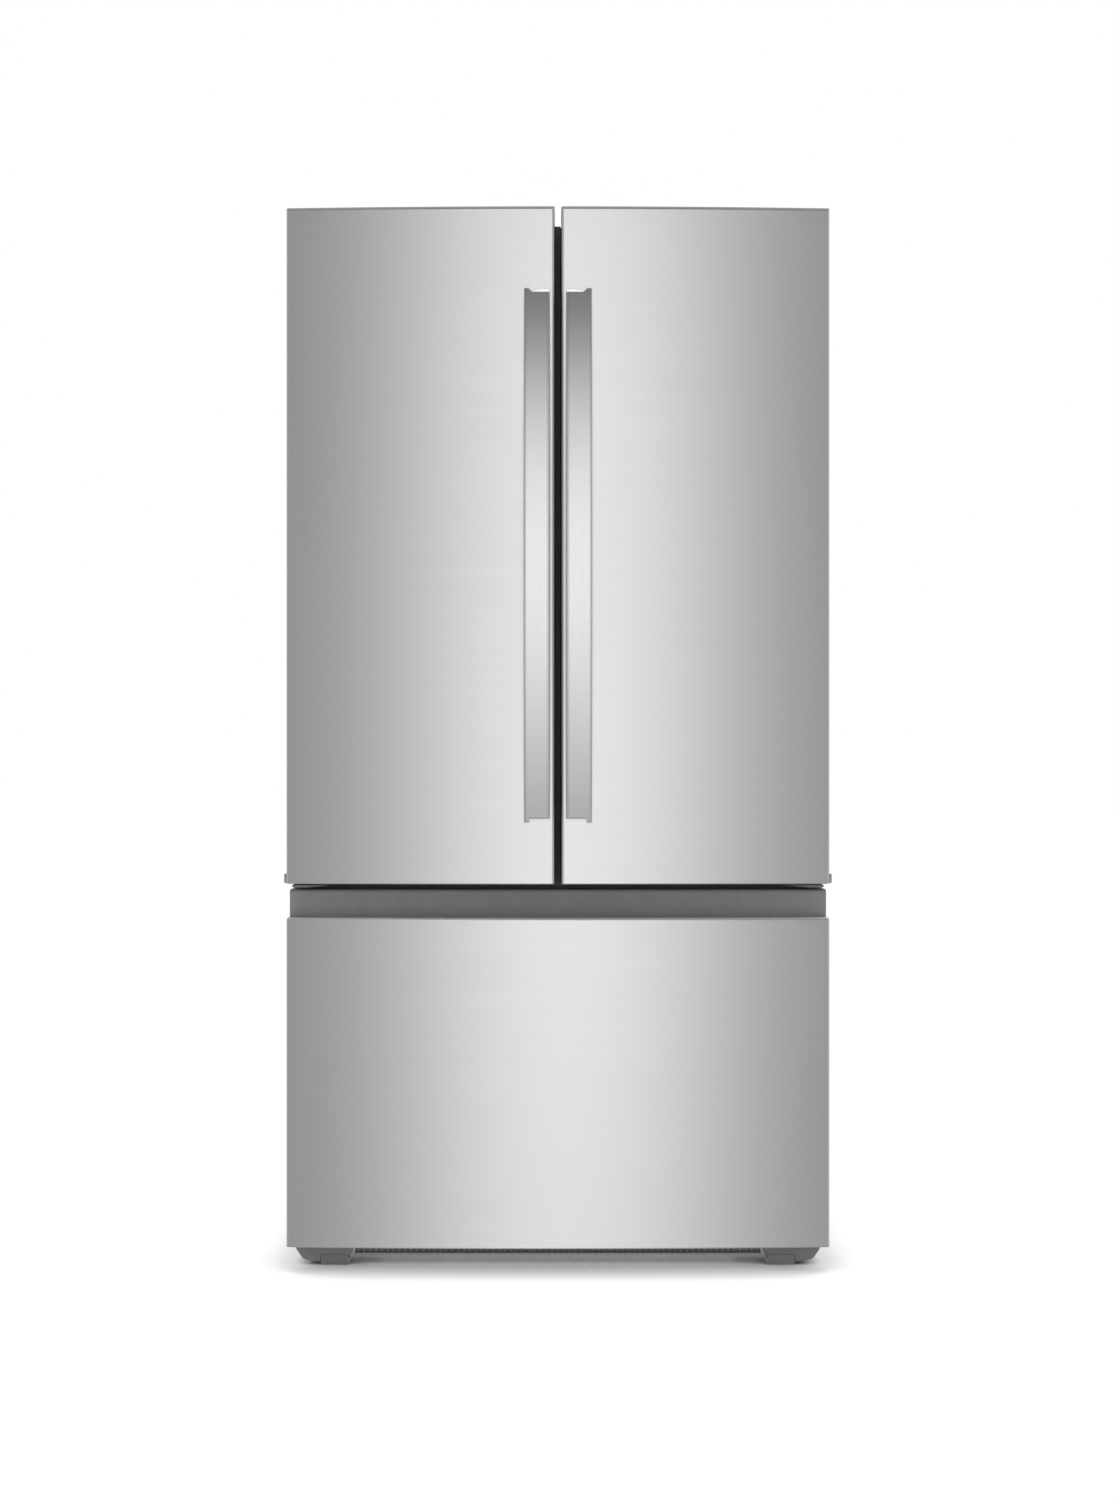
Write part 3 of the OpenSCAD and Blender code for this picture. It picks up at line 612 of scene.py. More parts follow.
def tub(p, x0, x1, y0, y1, z0, z1, t, r, draft=4.0, foot=10.0, rim=2.2, lip=0.0):
    """Moulded open tub with drafted rounded walls, a rounded foot and a rolled rim."""
    rows = []

    def at(z, d, rr_):
        rows.append((z, x0 + d, x1 - d, y0 + d, y1 - d, rr_))

    q = quarter(4)
    for u, v in q:
        at(z0 + foot * (1 - sqrt(max(0, 1 - (1 - u) ** 2))) * 0 + foot * v, draft + foot * u, r)
    rows.clear()
    for k in range(5):
        a = pi / 2 * k / 4
        at(z0 + foot * (1 - cos(a)), draft + foot * (1 - sin(a)), max(2, r - foot * (1 - sin(a))))
    at(z1 - 12, 0.8 + rim * 0.6, r)
    at(z1 - 7, 0.5 + rim * 0.5, r)
    at(z1 - 5.6, 0.1, r)
    at(z1 - 1.2, 0.0, r)
    at(z1 - 0.3, 0.4, r)
    at(z1, 1.2, r)
    at(z1, t + rim - 1.0, max(1, r - t))
    at(z1 - 0.8, t + rim - 0.2, max(1, r - t))
    for k in range(4, -1, -1):
        a = pi / 2 * k / 4
        at(z0 + t + foot * (1 - cos(a)), draft + t + foot * (1 - sin(a)), max(1.2, r - t - foot * (1 - sin(a))))
    p.rr("z", rows, n=6)
    return p


def bin_part(zs):
    p = Part()
    for z, h in zs:
        tub(p, -376.6, -65.4, -306.5, -178.2, z, z + h, 3.0, 14, draft=3.5, foot=9)
        # stiffening rail along the front of the rim
        p.rr("x", [(-360, -181.6, -178.4, z + h - 26, z + h - 14, 1.4), (-82, -181.6, -178.4, z + h - 26, z + h - 14, 1.4)], n=3)
    return p


build("left_shelf_bins", bin_part([(745, 110), (1060, 90), (1370, 90)]), M["clear_plastic"], "left_door",
      ["left_bins"], sharp=40)
build("right_shelf_bins", bin_part([(745, 110), (1120, 110)]).mirrored(), M["clear_plastic"], "right_door",
      ["right_bins"], sharp=40)
keep("mullion_bar", M["grey_plastic"], 1.6, 3)
keep("dairy_box", M["clear_plastic"], 1.0)
keep("dairy_lid", M["clear_plastic"], 0.9)

# ------------------------------------------------------------------ freezer drawer


def drawer_front_part():
    xa, xb = -454.0, 454.0
    z0, z1 = 44.0, 596.0
    rows = [(z0 + 0.0, 1.6), (z0 + 0.2, 0.7), (z0 + 0.7, 0.18), (z0 + 1.8, 0.0), (z0 + 2.6, 0.0), (z1 - 6.0, 0.0)]
    top = []
    for k in range(7):
        a = pi / 2 * k / 6
        top.append((z1 - 5.0 * (1 - sin(a)), 5.0 * (1 - cos(a))))
    rows += top
    inner = [(z1 - 1.3, 5.6), (z1 - 2.8, 2.6), (z1 - 6.5, 1.3), (z0 + 4, 1.2), (z0 + 2.2, 1.9), (z0 + 1.2, 4.4)]
    loops = []
    for z, t in rows + inner:
        pts = plan(xa, xb, -308, t, 4 - min(t, 3.6), 84)
        loops.append([(x, y, z) for x, y in pts])
    p = Part().loft([[row[i] for row in loops] for i in range(len(loops[0]))])
    # the lip: a folded flange behind the rolled top edge
    secs = []
    for i in range(61):
        x = -445 + 890 * i / 60
        secs.append([(x, bow(x, 4.6), 596.0), (x, bow(x, 13.2), 596.0), (x, bow(x, 14.0), 595.2),
                     (x, bow(x, 14.0), 593.2), (x, bow(x, 12.8), 593.2), (x, bow(x, 12.6), 594.8), (x, bow(x, 4.6), 594.8)])
    p.loft(secs)
    # bottom flange
    secs = []
    for i in range(61):
        x = -451 + 902 * i / 60
        secs.append([(x, bow(x, 3.4), 44.0), (x, -309, 44.0), (x, -309, 45.2), (x, bow(x, 3.4), 45.2)])
    p.loft(secs)
    return p


build("drawer_front", drawer_front_part(), M["stainless"], "freezer_drawer", ["freezer_drawer_skin"], sharp=50)


def pull_pocket_part():
    """Moulded pocket behind the lip: floor, curved rear wall with a rounded top, cheeks."""
    p = Part()
    prof = [(-349.6, 560.0)]
    # floor to wall fillet, wall, rounded top, top plate, back down inside
    outer = [(-374.0, 560.0), (-356.0, 560.0)]
    for k in range(1, 7):
        a = pi / 2 * k / 6
        outer.append((-356.0 + 8 * sin(a), 560.0 + 8 * (1 - cos(a))))
    outer += [(-348.0, 635.0)]
    for k in range(0, 8):
        a = pi / 2 * k / 7
        outer.append((-343.0 - 5.0 * cos(a), 636.0 + 5.0 * sin(a)))
    outer += [(-309.0, 641.0), (-308.2, 640.2), (-308.2, 638.4), (-338.0, 638.4), (-344.0, 632.0), (-344.0, 556.2), (-374.0, 556.2)]
    xs = [-451.4, -450.9, -449.5] + [-449.5 + 899.0 * i / 24 for i in range(1, 24)] + [449.5, 450.9, 451.4]
    ins = [1.6, 0.5, 0.0] + [0.0] * 23 + [0.0, 0.5, 1.6]
    rings = []
    cy_, cz_ = -330.0, 600.0
    for x, d in zip(xs, ins):
        ring = []
        for y, z in outer:
            yy = y + d if y < -344.5 else y
            zz = z - d if z > 639.5 else z
            ring.append((x, yy, zz))
        rings.append(ring)
    p.loft(rings)
    # pocket floor out to the skin and its front wall behind the lip
    secs = []
    for i in range(49):
        x = -447 + 894 * i / 48
        secs.append([(x, -373.0, 560.0), (x, bow(x, 7.5), 560.0), (x, bow(x, 5.0), 562.5), (x, bow(x, 4.3), 594.4),
                     (x, bow(x, 1.5), 594.4), (x, bow(x, 1.5), 556.4), (x, -373.0, 556.4)])
    p.loft(secs)
    for s in (-1, 1):
        a, b = sorted((s * 452.4, s * 447.6))
        p.rr("x", [(a, -374, -345, 557, 594.6, 2), (b, -374, -345, 557, 594.6, 2)], n=3)
        a, b = sorted((s * 451.4, s * 447.8))
        p.rr("x", [(a, -344.2, -309, 594.4, 633.5, 1), (b, -344.2, -309, 594.4, 633.5, 1)], n=3)
        p.rr("x", [(a, -339.5, -309, 633.2, 640.2, 1), (b, -339.5, -309, 633.2, 640.2, 1)], n=3)
        p.rr("x", [(a, -342.4, -339, 633.2, 637.6, 0.6), (b, -342.4, -339, 633.2, 637.6, 0.6)], n=3)
    return p


build("pull_pocket", pull_pocket_part(), M["grey_plastic"], "freezer_drawer", ["freezer_pull_cap"], sharp=38)
keep("freezer_drawer_core", M["foam"], 3.0, 3)


def drawer_liner_part():
    p = Part()
    rows = [(-310.9, -449, 449, 48.5, 591.8, 5), (-309.0, -449, 449, 48.5, 591.8, 5), (-308.1, -448, 448, 49.4, 590.9, 4)]
    p.rr("y", rows + [(-308.0, -440, 440, 60, 580, 3)], n=5)
    p.rr("y", [(-310.9, -447.2, 447.2, 560, 639.6, 5), (-309, -447.2, 447.2, 560, 639.6, 5),
               (-308.1, -446.4, 446.4, 561, 638.8, 4)], n=5)
    rows = []

    def at(y, d, r):
        rows.append((y, -378 + d, 378 - d, 106 + d, 604 - d, r))

    at(-308.6, -4.0, 20)
    at(-307.4, -1.8, 18)
    at(-304.5, 0.3, 16)
    at(-276.0, 1.2, 15)
    at(-272.2, 2.2, 14)
    at(-270.6, 4.6, 12)
    at(-270.1, 7.0, 10)
    at(-270.1, 10.0, 9)
    at(-271.2, 13.2, 8)
    at(-274.0, 14.6, 7)
    at(-303.0, 15.4, 6)
    at(-306.6, 17.0, 7)
    at(-307.7, 21.0, 9)
    p.rr("y", rows, n=6)
    return p


build("drawer_inner_panel", drawer_liner_part(), M["liner_white"], "freezer_drawer", ["freezer_drawer_liner"],
      sharp=40)
build("drawer_seal", gasket_part(-424, 424, 66, 634), M["gasket_rubber"], "freezer_drawer", ["freezer_drawer_gasket"],
      sharp=60)
keep("freezer_drawer_frame", M["galvanised_steel"], 0.4)


def wire_basket():
    """Welded wire basket: U wires both ways, three perimeter wires and the hanging rim."""
    p = Part()
    x0, x1, y0, y1, z0, z1 = -366.5, 366.5, -256.5, 146.5, 127, 326

    def ring(z, d, r, rad):
        pts = []
        q = rring("z", z, x0 + d, x1 - d, y0 + d, y1 - d, r, n=5)
        n = len(q)
        for i in range(n):
            a, b = q[i], q[(i + 1) % n]
            pts.append(a)
            L = sqrt(sum((a[k] - b[k]) ** 2 for k in range(3)))
            if L > 60:
                m_ = int(L // 60)
                pts += [tuple(a[k] + (b[k] - a[k]) * j / (m_ + 1) for k in range(3)) for j in range(1, m_ + 1)]
        p.tube(pts, rad, 8, closed=True)

    ring(324.6, 2.0, 22, 2.8)
    ring(262, 6.0, 20, 1.6)
    ring(195, 10.0, 20, 1.6)
    ring(140, 15.0, 20, 1.6)

    def u(fixed, along, lo, hi):
        pts = []
        top, bot, r = 324, 129, 22
        d = 16.0
        prof = [(lo + 2.2, top), (lo + 6, 262), (lo + 10, 195)]
        for k in range(5):
            a = pi / 2 * k / 4
            prof.append((lo + d + r * (1 - cos(a)) - 3, bot + r * (1 - sin(a))))
        mid = (lo + hi) / 2
        full = prof + [(2 * mid - h, z) for h, z in reversed(prof)]
        for h, z in full:
            pts.append((fixed, h, z) if along == "y" else (h, fixed, z))
        p.tube(pts, 1.5, 6)

    for i in range(27):
        u(-338 + 676 * i / 26, "y", y0, y1)
    for i in range(15):
        u(-228 + 346 * i / 14, "x", x0, x1)
    # hanging rim bars at both sides
    for s in (-1, 1):
        a, b = sorted((s * 367.5, s * 382.2))
        p.rr("z", [(325.2, a, b, -257, 147, 4), (325.6, a - 0.1, b + 0.1, -257.4, 147.4, 4),
                   (327.4, a - 0.1, b + 0.1, -257.4, 147.4, 4), (327.8, a, b, -257, 147, 4)], n=4)
    return p


build("wire_basket", wire_basket(), M["white_plastic"], "freezer_drawer", ["lower_basket"], sharp=60)
p = Part()
tub(p, -380.5, 380.5, -244.5, 99.5, 402.8, 495, 3.0, 16, draft=5, foot=10)
for i in range(9):
    x = -320 + 640 * i / 8
    p.rr("y", [(-240.6, x - 14, x + 14, 418, 474, 5), (-241.8, x - 12.5, x + 12.5, 419.5, 472.5, 4)], n=3)
    p.rr("y", [(95.6, x - 14, x + 14, 418, 474, 5), (96.8, x - 12.5, x + 12.5, 419.5, 472.5, 4)], n=3)
build("sliding_tray", p, M["white_plastic"], "upper_basket", ["upper_basket"], sharp=40)

# ------------------------------------------------------------------ interior


def fresh_liner_part():
    p = Part()
    rows = []

    def at(y, d, r):
        rows.append((y, -400 - d, 400 + d, 680 - d, 1690 + d, r))

    at(372.4, -16, 12)
    at(371.0, -4, 14)
    at(366.0, 2.3, 15)
    at(-285.0, 2.4, 15)
    at(-292.2, 2.4, 15)
    at(-292.2, 1.0, 14)
    at(-291.2, 0.1, 13)
    at(-286.0, -0.3, 13)
    at(352.0, -0.4, 13)
    for k in range(1, 6):
        a = pi / 2 * k / 5
        at(352.0 + 17.4 * sin(a), -0.4 - 17.4 * (1 - cos(a)), 13)
    p.rr("y", rows, n=6)
    # moulded side ledges that carry nothing but stiffen the wall
    for s in (-1, 1):
        for z in (1000, 1240, 1520):
            a, b = (s * 399.7, s * 396.9)
            p.rr("x", [(a, -236, 318, z - 7, z + 7, 6.5), ((a + b) / 2, -237, 319, z - 6.5, z + 6.5, 6.3),
                       (b, -234, 316, z - 3, z + 3, 2.9)], n=5)
    return p


build("fresh_compartment", fresh_liner_part(), M["liner_white"], "cabinet", ["fresh_food_liner"], sharp=40)
p = Part()
p.rr("z", [(1681.2, -9.6, 13.6, -291.6, -262.4, 2), (1682, -10, 14, -292, -262, 2.4), (1690.4, -10, 14, -292, -262, 2.4)], n=4)
build("mullion_guide", p, M["grey_plastic"], "cabinet", (), sharp=35)
keep("freezer_liner", M["liner_white"], 0.9)
keep("cabinet_insulation", M["foam"], 0.5)
keep("evaporator_coil", M["coil_aluminium"], 0.25, 1)
keep("evaporator_cover", M["white_plastic"], 0.8)
keep("air_duct_panel", M["white_plastic"], 1.0)
keep("shelf_frames", M["white_plastic"], 1.4)
keep("shelf_glass", M["shelf_glass"], 0.8)
keep("crisper_housing", M["white_plastic"], 1.2)


def crisper_part(x0, x1, z0, z1, lip):
    p = Part()
    tub(p, x0 + 0.3, x1 - 0.3, -57.5, 321.5, z0 + 0.2, z1, 3.0, 12, draft=4, foot=12)
    # front fascia with its finger lip
    a, b, zl = lip
    secs = []
    for x, d in [(a, 1.6), (a + 0.5, 0.6), (a + 2, 0.0), ((a + b) / 2, 0.0), (b - 2, 0.0), (b - 0.5, 0.6), (b, 1.6)]:
        prof = [(-56.0, zl + 4 - d), (-66, zl + 4 - d), (-71, zl + 3.6 - d), (-73.4 + d, zl + 2.2), (-73.9 + d, zl - 0.2),
                (-73.2 + d, zl - 5 + d), (-71.6 + d, zl - 5 + d), (-70.6, zl - 1.0), (-66, zl + d * 0.5), (-56, zl + d * 0.5)]
        secs.append([(x, y, min(z, z1 - 1)) for y, z in prof])
    p.loft(secs)
    return p


build("crisper_tub_left", crisper_part(-391, -7, 780.5, 930, (-357.5, -40.5, 916)), M["clear_plastic"], "crisper_left",
      ["crisper_left"], sharp=40)
build("crisper_tub_right", crisper_part(7, 391, 780.5, 930, (40.5, 357.5, 916)), M["clear_plastic"], "crisper_right",
      ["crisper_right"], sharp=40)
build("pantry_tub", crisper_part(-392, 392, 680.5, 768, (-299.5, 299.5, 756)), M["clear_plastic"], "pantry_drawer",
      ["pantry_drawer"], sharp=40)

p = Part()
rows = [(1689.9, -144.9, 144.9, -164.9, -20.1, 10), (1674, -144.8, 144.8, -164.8, -20.2, 10)]
for k in range(1, 6):
    a = pi / 2 * k / 5
    rows.append((1674 - 9.8 * sin(a), -144.8 + 9.8 * (1 - cos(a)), 144.8 - 9.8 * (1 - cos(a)), -164.8 + 9.8 * (1 - cos(a)),
                 -20.2 - 9.8 * (1 - cos(a)), 10 - 6 * k / 5))
p.rr("z", rows, n=6)
for i in range(4):
    x = -105 + 30 * i + (90 if i > 1 else 0)
    p.rr("y", [(-164.4, x - 10, x + 10, 1678, 1686, 3), (-164.95, x - 9.4, x + 9.4, 1678.6, 1685.4, 2.6)], n=4)
for i in range(8):
    p.rr("z", [(1664.4, 84 + 6 * i, 87.4 + 6 * i, -120, -60, 1.5), (1664.02, 84.3 + 6 * i, 87.1 + 6 * i, -119.6, -60.4, 1.4)], n=3)
build("control_box", p, M["white_plastic"], "cabinet", ["control_housing"], sharp=35)
p = Part()
p.rr("z", [(1664.0, -62, 62, -120, -45, 9), (1661.6, -61.7, 61.7, -119.7, -45.3, 9), (1660.5, -60.6, 60.6, -118.6, -46.4, 8),
           (1660.0, -58.5, 58.5, -116.5, -48.5, 7)], n=6)
build("lamp_lens", p, M["lens"], "cabinet", ["light_lens"], sharp=35)

# ------------------------------------------------------------------ cabinet outside


def cabinet_shell():
    """Folded sheet: one surface with the front flange, given thickness by a modifier."""
    xs = [-450, -400, 400, 450]
    zs = [42, 100, 610, 680, 1690, 1743]
    p = Part()
    y0, y1 = -293.5, 450.0
    v, f = [], []
    idx = {}

    def vid(x, y, z):
        k = (x, y, z)
        if k not in idx:
            idx[k] = len(v)
            v.append(k)
        return idx[k]

    for i in range(3):
        for j in range(5):
            if i == 1 and j in (1, 3):
                continue
            f.append((vid(xs[i], y0, zs[j]), vid(xs[i + 1], y0, zs[j]), vid(xs[i + 1], y0, zs[j + 1]), vid(xs[i], y0, zs[j + 1])))
    ys = [y0, -60, 180, y1]
    for j in range(5):
        for k in range(3):
            f.append((vid(xs[0], ys[k], zs[j]), vid(xs[0], ys[k], zs[j + 1]), vid(xs[0], ys[k + 1], zs[j + 1]), vid(xs[0], ys[k + 1], zs[j])))
            f.append((vid(xs[3], ys[k], zs[j]), vid(xs[3], ys[k + 1], zs[j]), vid(xs[3], ys[k + 1], zs[j + 1]), vid(xs[3], ys[k], zs[j + 1])))
    for i in range(3):
        for k in range(3):
            f.append((vid(xs[i], ys[k], zs[5]), vid(xs[i + 1], ys[k], zs[5]), vid(xs[i + 1], ys[k + 1], zs[5]), vid(xs[i], ys[k + 1], zs[5])))
    return p.add(v, f)


ob = build("cabinet_shell", cabinet_shell(), M["painted_grey"], "cabinet", ["cabinet_wrapper"], bevel=2.4, seg=4,
           angle=60)
so = ob.modifiers.new("sheet", "SOLIDIFY")
so.thickness = 0.0011
so.offset = -1.0

p = Part()


def bead(p, x0, x1, z0, z1, y, h):
    p.rr("y", [(y, x0, x1, z0, z1, 22), (y + h * 0.35, x0 + 1.6, x1 - 1.6, z0 + 1.6, z1 - 1.6, 21),
               (y + h * 0.8, x0 + 4, x1 - 4, z0 + 4, z1 - 4, 19), (y + h, x0 + 7, x1 - 7, z0 + 7, z1 - 7, 17)], n=6)


p.rr("y", [(449.2, -449.2, 449.2, 250.5, 1742.2, 4), (450.2, -449.2, 449.2, 250.5, 1742.2, 4), (450.5, -448.6, 448.6, 251.1, 1741.6, 4)], n=4)
for z0, z1 in ((300, 650), (680, 1030), (1060, 1410), (1440, 1700)):
    for a, b in ((-410, -20), (20, 410)):
        bead(p, a, b, z0, z1, 450.4, 1.9)
build("back_sheet", p, M["back_sheet"], "cabinet", ["rear_panel"], sharp=30)

p = Part()
for i in range(8):
    for x in (-438, 438):
        p.hexhead((x, 450.5, 300 + 200 * i), "+y", 3.4, 1.25)
for x in (-300, -100, 100, 300):
    p.hexhead((x, 450.5, 1731), "+y", 3.4, 1.25)
build("back_screws", p, M["zinc_screw"], "cabinet", (), sharp=30)
keep("machine_cover", M["galvanised_steel"], 0.5)
keep("base_pan", M["galvanised_steel"], 0.5)
keep("condenser_shroud", M["black_plastic"], 0.5)
keep("condenser_coil", M["black_metal"], 0.3, 1)
keep("freezer_outer_rails", M["galvanised_steel"], 0.3, 1)
keep("freezer_middle_rails", M["galvanised_steel"], 0.3, 1)
keep("cord_gland", M["black_plastic"], 0.7)
keep("top_hinges", M["galvanised_steel"], 0.6)
p = Part()
for s in (-1, 1):
    # bolted back plate with a folded edge
    a, b = sorted((s * 434, s * 379))
    p.rr("y", [(-296.5, a + 0.5, b - 0.5, 636.5, 655.5, 2.5), (-296.2, a, b, 636, 656, 3), (-293.6, a, b, 636, 656, 3)], n=4)
    # hinge leaf over the pocket, rounded in plan
    leaf = [(446.2, -296), (446.2, -359.5), (445.6, -361.3), (443.6, -362), (419.5, -362), (417.6, -361.4), (380.2, -318.8),
            (379, -316.6), (379, -296)]
    rings = []
    for z, d in ((645.0, 0.5), (645.3, 0.15), (645.7, 0.0), (648.4, 0.0), (648.8, 0.15), (649.0, 0.5)):
        rings.append([(s * (x - (d if x > 410 else -d)), y + (d if y < -300 else 0), z) for x, y in leaf])
    p.loft(rings)
    p.lathe((s * 430, -335, 0), "z", [(648.5, 9.0), (651.0, 9.0), (651.4, 8.5)], seg=28)
    p.rod((s * 430, -335, 648.2), (s * 430, -335, 668), 4.9, 24, 0.6)
    for x in (395, 418):
        p.hexhead((s * x, -296.5, 640.6), "-y", 2.6, 1.0)
build("hinge_brackets", p, M["painted_grey"], "cabinet", ["centre_hinges"], sharp=35)

p = Part()
for s in (-1, 1):
    a, b = sorted((s * 449, s * 379))
    rows = [(1743.0, a, b, -291, -206, 7), (1762, a + 0.6, b - 0.6, -290.4, -206.6, 7)]
    for k in range(1, 7):
        t = pi / 2 * k / 6
        rows.append((1762 + 9.9 * sin(t), a + 0.6 + 9.9 * (1 - cos(t)), b - 0.6 - 9.9 * (1 - cos(t)),
                     -290.4 + 9.9 * (1 - cos(t)), -206.6 - 9.9 * (1 - cos(t)), 7 + 3 * k / 6))
    p.rr("z", rows, n=6)
rows = [(1743.0, -382, 382, -291, -262, 2), (1764.0, -382, 382, -290.6, -262.4, 2)]
for k in range(1, 6):
    t = pi / 2 * k / 5
    rows.append((1764 + 1.5 * sin(t), -382, 382, -290.6 + 1.5 * (1 - cos(t)), -262.4 - 1.5 * (1 - cos(t)), 2))
p.rr("z", rows, n=3)
build("hinge_shrouds", p, M["trim_grey"], "cabinet", ["hinge_covers"], sharp=38)
p = Part()
for s in (-1, 1):
    p.lathe((s * 399, -248, 1771.6), "z", [(-1.4, 5.6), (0.0, 5.6), (0.35, 5.0), (0.38, 2.4), (-0.6, 2.2)], seg=20)
build("hinge_shroud_screws", p, M["zinc_screw"], "cabinet", (), sharp=30)

p = Part()
p.box(-345.8, 345.8, -283.4, -282.2, 16.9, 41.9)
p.rr("x", [(-346.0, -290, -282.3, 38.4, 41.9, 1.2), (346.0, -290, -282.3, 38.4, 41.9, 1.2)], n=3)
p.rr("x", [(-346.0, -290, -282.3, 16.6, 19.5, 1.2), (346.0, -290, -282.3, 16.6, 19.5, 1.2)], n=3)
for i in range(69):
    x = -340 + 10 * i
    p.rr("z", [(20.4, x - 1.4, x + 1.4, -289.2, -282.6, 1.1), (39, x - 1.4, x + 1.4, -289.2, -282.6, 1.1)], n=2)
build("toe_louvre", p, M["leg_plastic"], "cabinet", ["toe_grille"], sharp=35)

p = Part()
prof = [(-449.5, 41.9), (-447.0, 30.5), (-443.5, 24.6), (-436.0, 13.6), (-432.6, 10.4), (-427.0, 8.4), (-405.2, 5.4), (-403.9, 6.0),
        (-403.4, 17.2), (-402.8, 17.9), (-355.9, 17.9), (-355.4, 17.2), (-355.0, 9.6), (-353.8, 9.0), (-352.2, 13.6), (-350.6, 19.4),
        (-348.8, 28.6), (-347.6, 36.0), (-346.4, 41.9)]
for s in (-1, 1):
    rings = []
    for y, d in ((-300, 0.5), (-299.8, 0.15), (-299.5, 0.0), (-215, 0.0), (-214.3, 0.3), (-214, 0.8)):
        ring = []
        for i, (x, z) in enumerate(prof):
            cx_, cz_ = -392, 30
            dd = 0.0 if -404.5 < x < -354.5 else d
            ring.append((-s * (x + (dd if x < cx_ else -dd)), y, z + (d * 0.8 if z < 20 and not (-404.5 < x < -354.5) else 0)))
        rings.append(ring)
    p.loft(rings)
brk = build("front_leg_brackets", p, M["foot_plastic"], "cabinet", ["leg_brackets"], sharp=28)
for s in (-1, 1):
    bm = bmesh.new()
    bmesh.ops.create_cone(bm, cap_ends=True, segments=32, radius1=0.0083, radius2=0.0083, depth=0.06)
    for v in bm.verts:
        v.co.x += s * 0.3795
        v.co.y -= 0.272
        v.co.z += 0.030
    cm = bpy.data.meshes.new("bore_cut")
    bm.to_mesh(cm)
    bm.free()
    cut = bpy.data.objects.new("bore_cut", cm)
    bpy.context.scene.collection.objects.link(cut)
    md = brk.modifiers.new("bore", "BOOLEAN")
    md.operation = "DIFFERENCE"
    md.solver = "EXACT"
    md.object = cut
    bpy.context.view_layer.update()
    me = bpy.data.meshes.new_from_object(brk.evaluated_get(bpy.context.evaluated_depsgraph_get()))
    brk.modifiers.clear()
    brk.data = me
    me.set_sharp_from_angle(angle=radians(28))
    bpy.data.objects.remove(cut)
    bpy.data.meshes.remove(cm)
for s, nm in ((-1, "left"), (1, "right")):
    p = Part()
    c = s * 379.5
    p.rr("z", [(0.0, c - 22.6, c + 22.6, -298.3, -248.9, 0.7), (0.6, c - 23.2, c + 23.2, -299.1, -247.5, 0.8), (1.6, c - 23.6, c + 23.6, -299.5, -247, 0.8),
               (16.9, c - 23.6, c + 23.6, -299.5, -247, 0.8), (17.3, c - 23.5, c + 23.5, -299.4, -247.3, 0.8),
               (17.6, c - 23.0, c + 23.0, -298.9, -248.1, 0.8)], n=4)
    prof = [(17.0, 8.0)]
    z = 18.0
    while z < 40:
        prof += [(z, 7.9), (z + 0.55, 7.3), (z + 1.1, 7.9)]
        z += 1.75
    prof += [(40.6, 7.6), (41.0, 6.8)]
    p.lathe((c, -272, 0), "z", prof, seg=24)
    build("foot_" + nm, p, M["foot_plastic"], "leg_" + nm, ["leg_" + nm], sharp=35)
    p = Part()
    x0 = s * 387 - 9.9
    prof = [(0, 4.1), (0, 15.5), (1.2, 18.2), (3.0, 19.6), (5.0, 20.0), (14.8, 20.0), (16.8, 19.6), (18.6, 18.2), (19.8, 15.5), (19.8, 4.1)]
    p.lathe((x0, 405, 20), "x", prof, seg=40, loop=True)
    for k in range(6):
        a = 2 * pi * k / 6
        for e in (0.0, 19.8):
            o = -0.1 if e == 0.0 else 0.1
            cy_, cz_ = 405 + 10.5 * cos(a), 20 + 10.5 * sin(a)
            p.lathe((x0 + e, cy_, cz_), "x", [(-0.4 if e else 0.4, 2.4), (0.0, 2.4), (o, 2.0)], seg=12)
    build("roller_" + nm, p, M["roller_plastic"], "rear_roller_" + nm, ["rear_roller_" + nm], sharp=35)

# ------------------------------------------------------------------ machine compartment

p = Part()
p.rr("z", [(45.1, -325, -135, 240, 430, 10), (47.6, -325, -135, 240, 430, 10), (48, -324.4, -135.6, 240.6, 429.4, 9.6)], n=4)
p.rr("z", [(60, -310, -150, 255, 415, 16), (65.4, -310, -150, 255, 415, 16), (66, -309, -151, 256, 414, 15)], n=4)
for x in (-305, -155):
    for y in (260, 410):
        p.lathe((x, y, 47), "z", [(0, 9), (4, 9), (5, 7.6), (7, 7.6), (8, 9), (12, 9), (13, 7.4), (19, 7.4)], seg=20)
pr = [(60, 60), (64, 74), (72, 82), (84, 84.6), (118, 85), (120, 86.0), (126, 86.0), (128, 85)]
pr = [(z, min(r, 85)) for z, r in pr]
pr = pr[:5] + [(117, 83.2), (119, 83.2), (120, 85), (126, 85), (127, 83.2), (129, 83.2)] + \
    [(150, 83), (172, 79), (190, 70), (204, 56), (213, 38), (218, 20), (219.6, 6)]
p.lathe((-230, 335, 0), "z", pr, seg=48)
p.rr("y", [(248, -262, -198, 100, 150, 6), (262, -262, -198, 100, 150, 6)], n=4)
build("compressor_shell", p, M["black_metal"], "cabinet", ["compressor"], sharp=35)


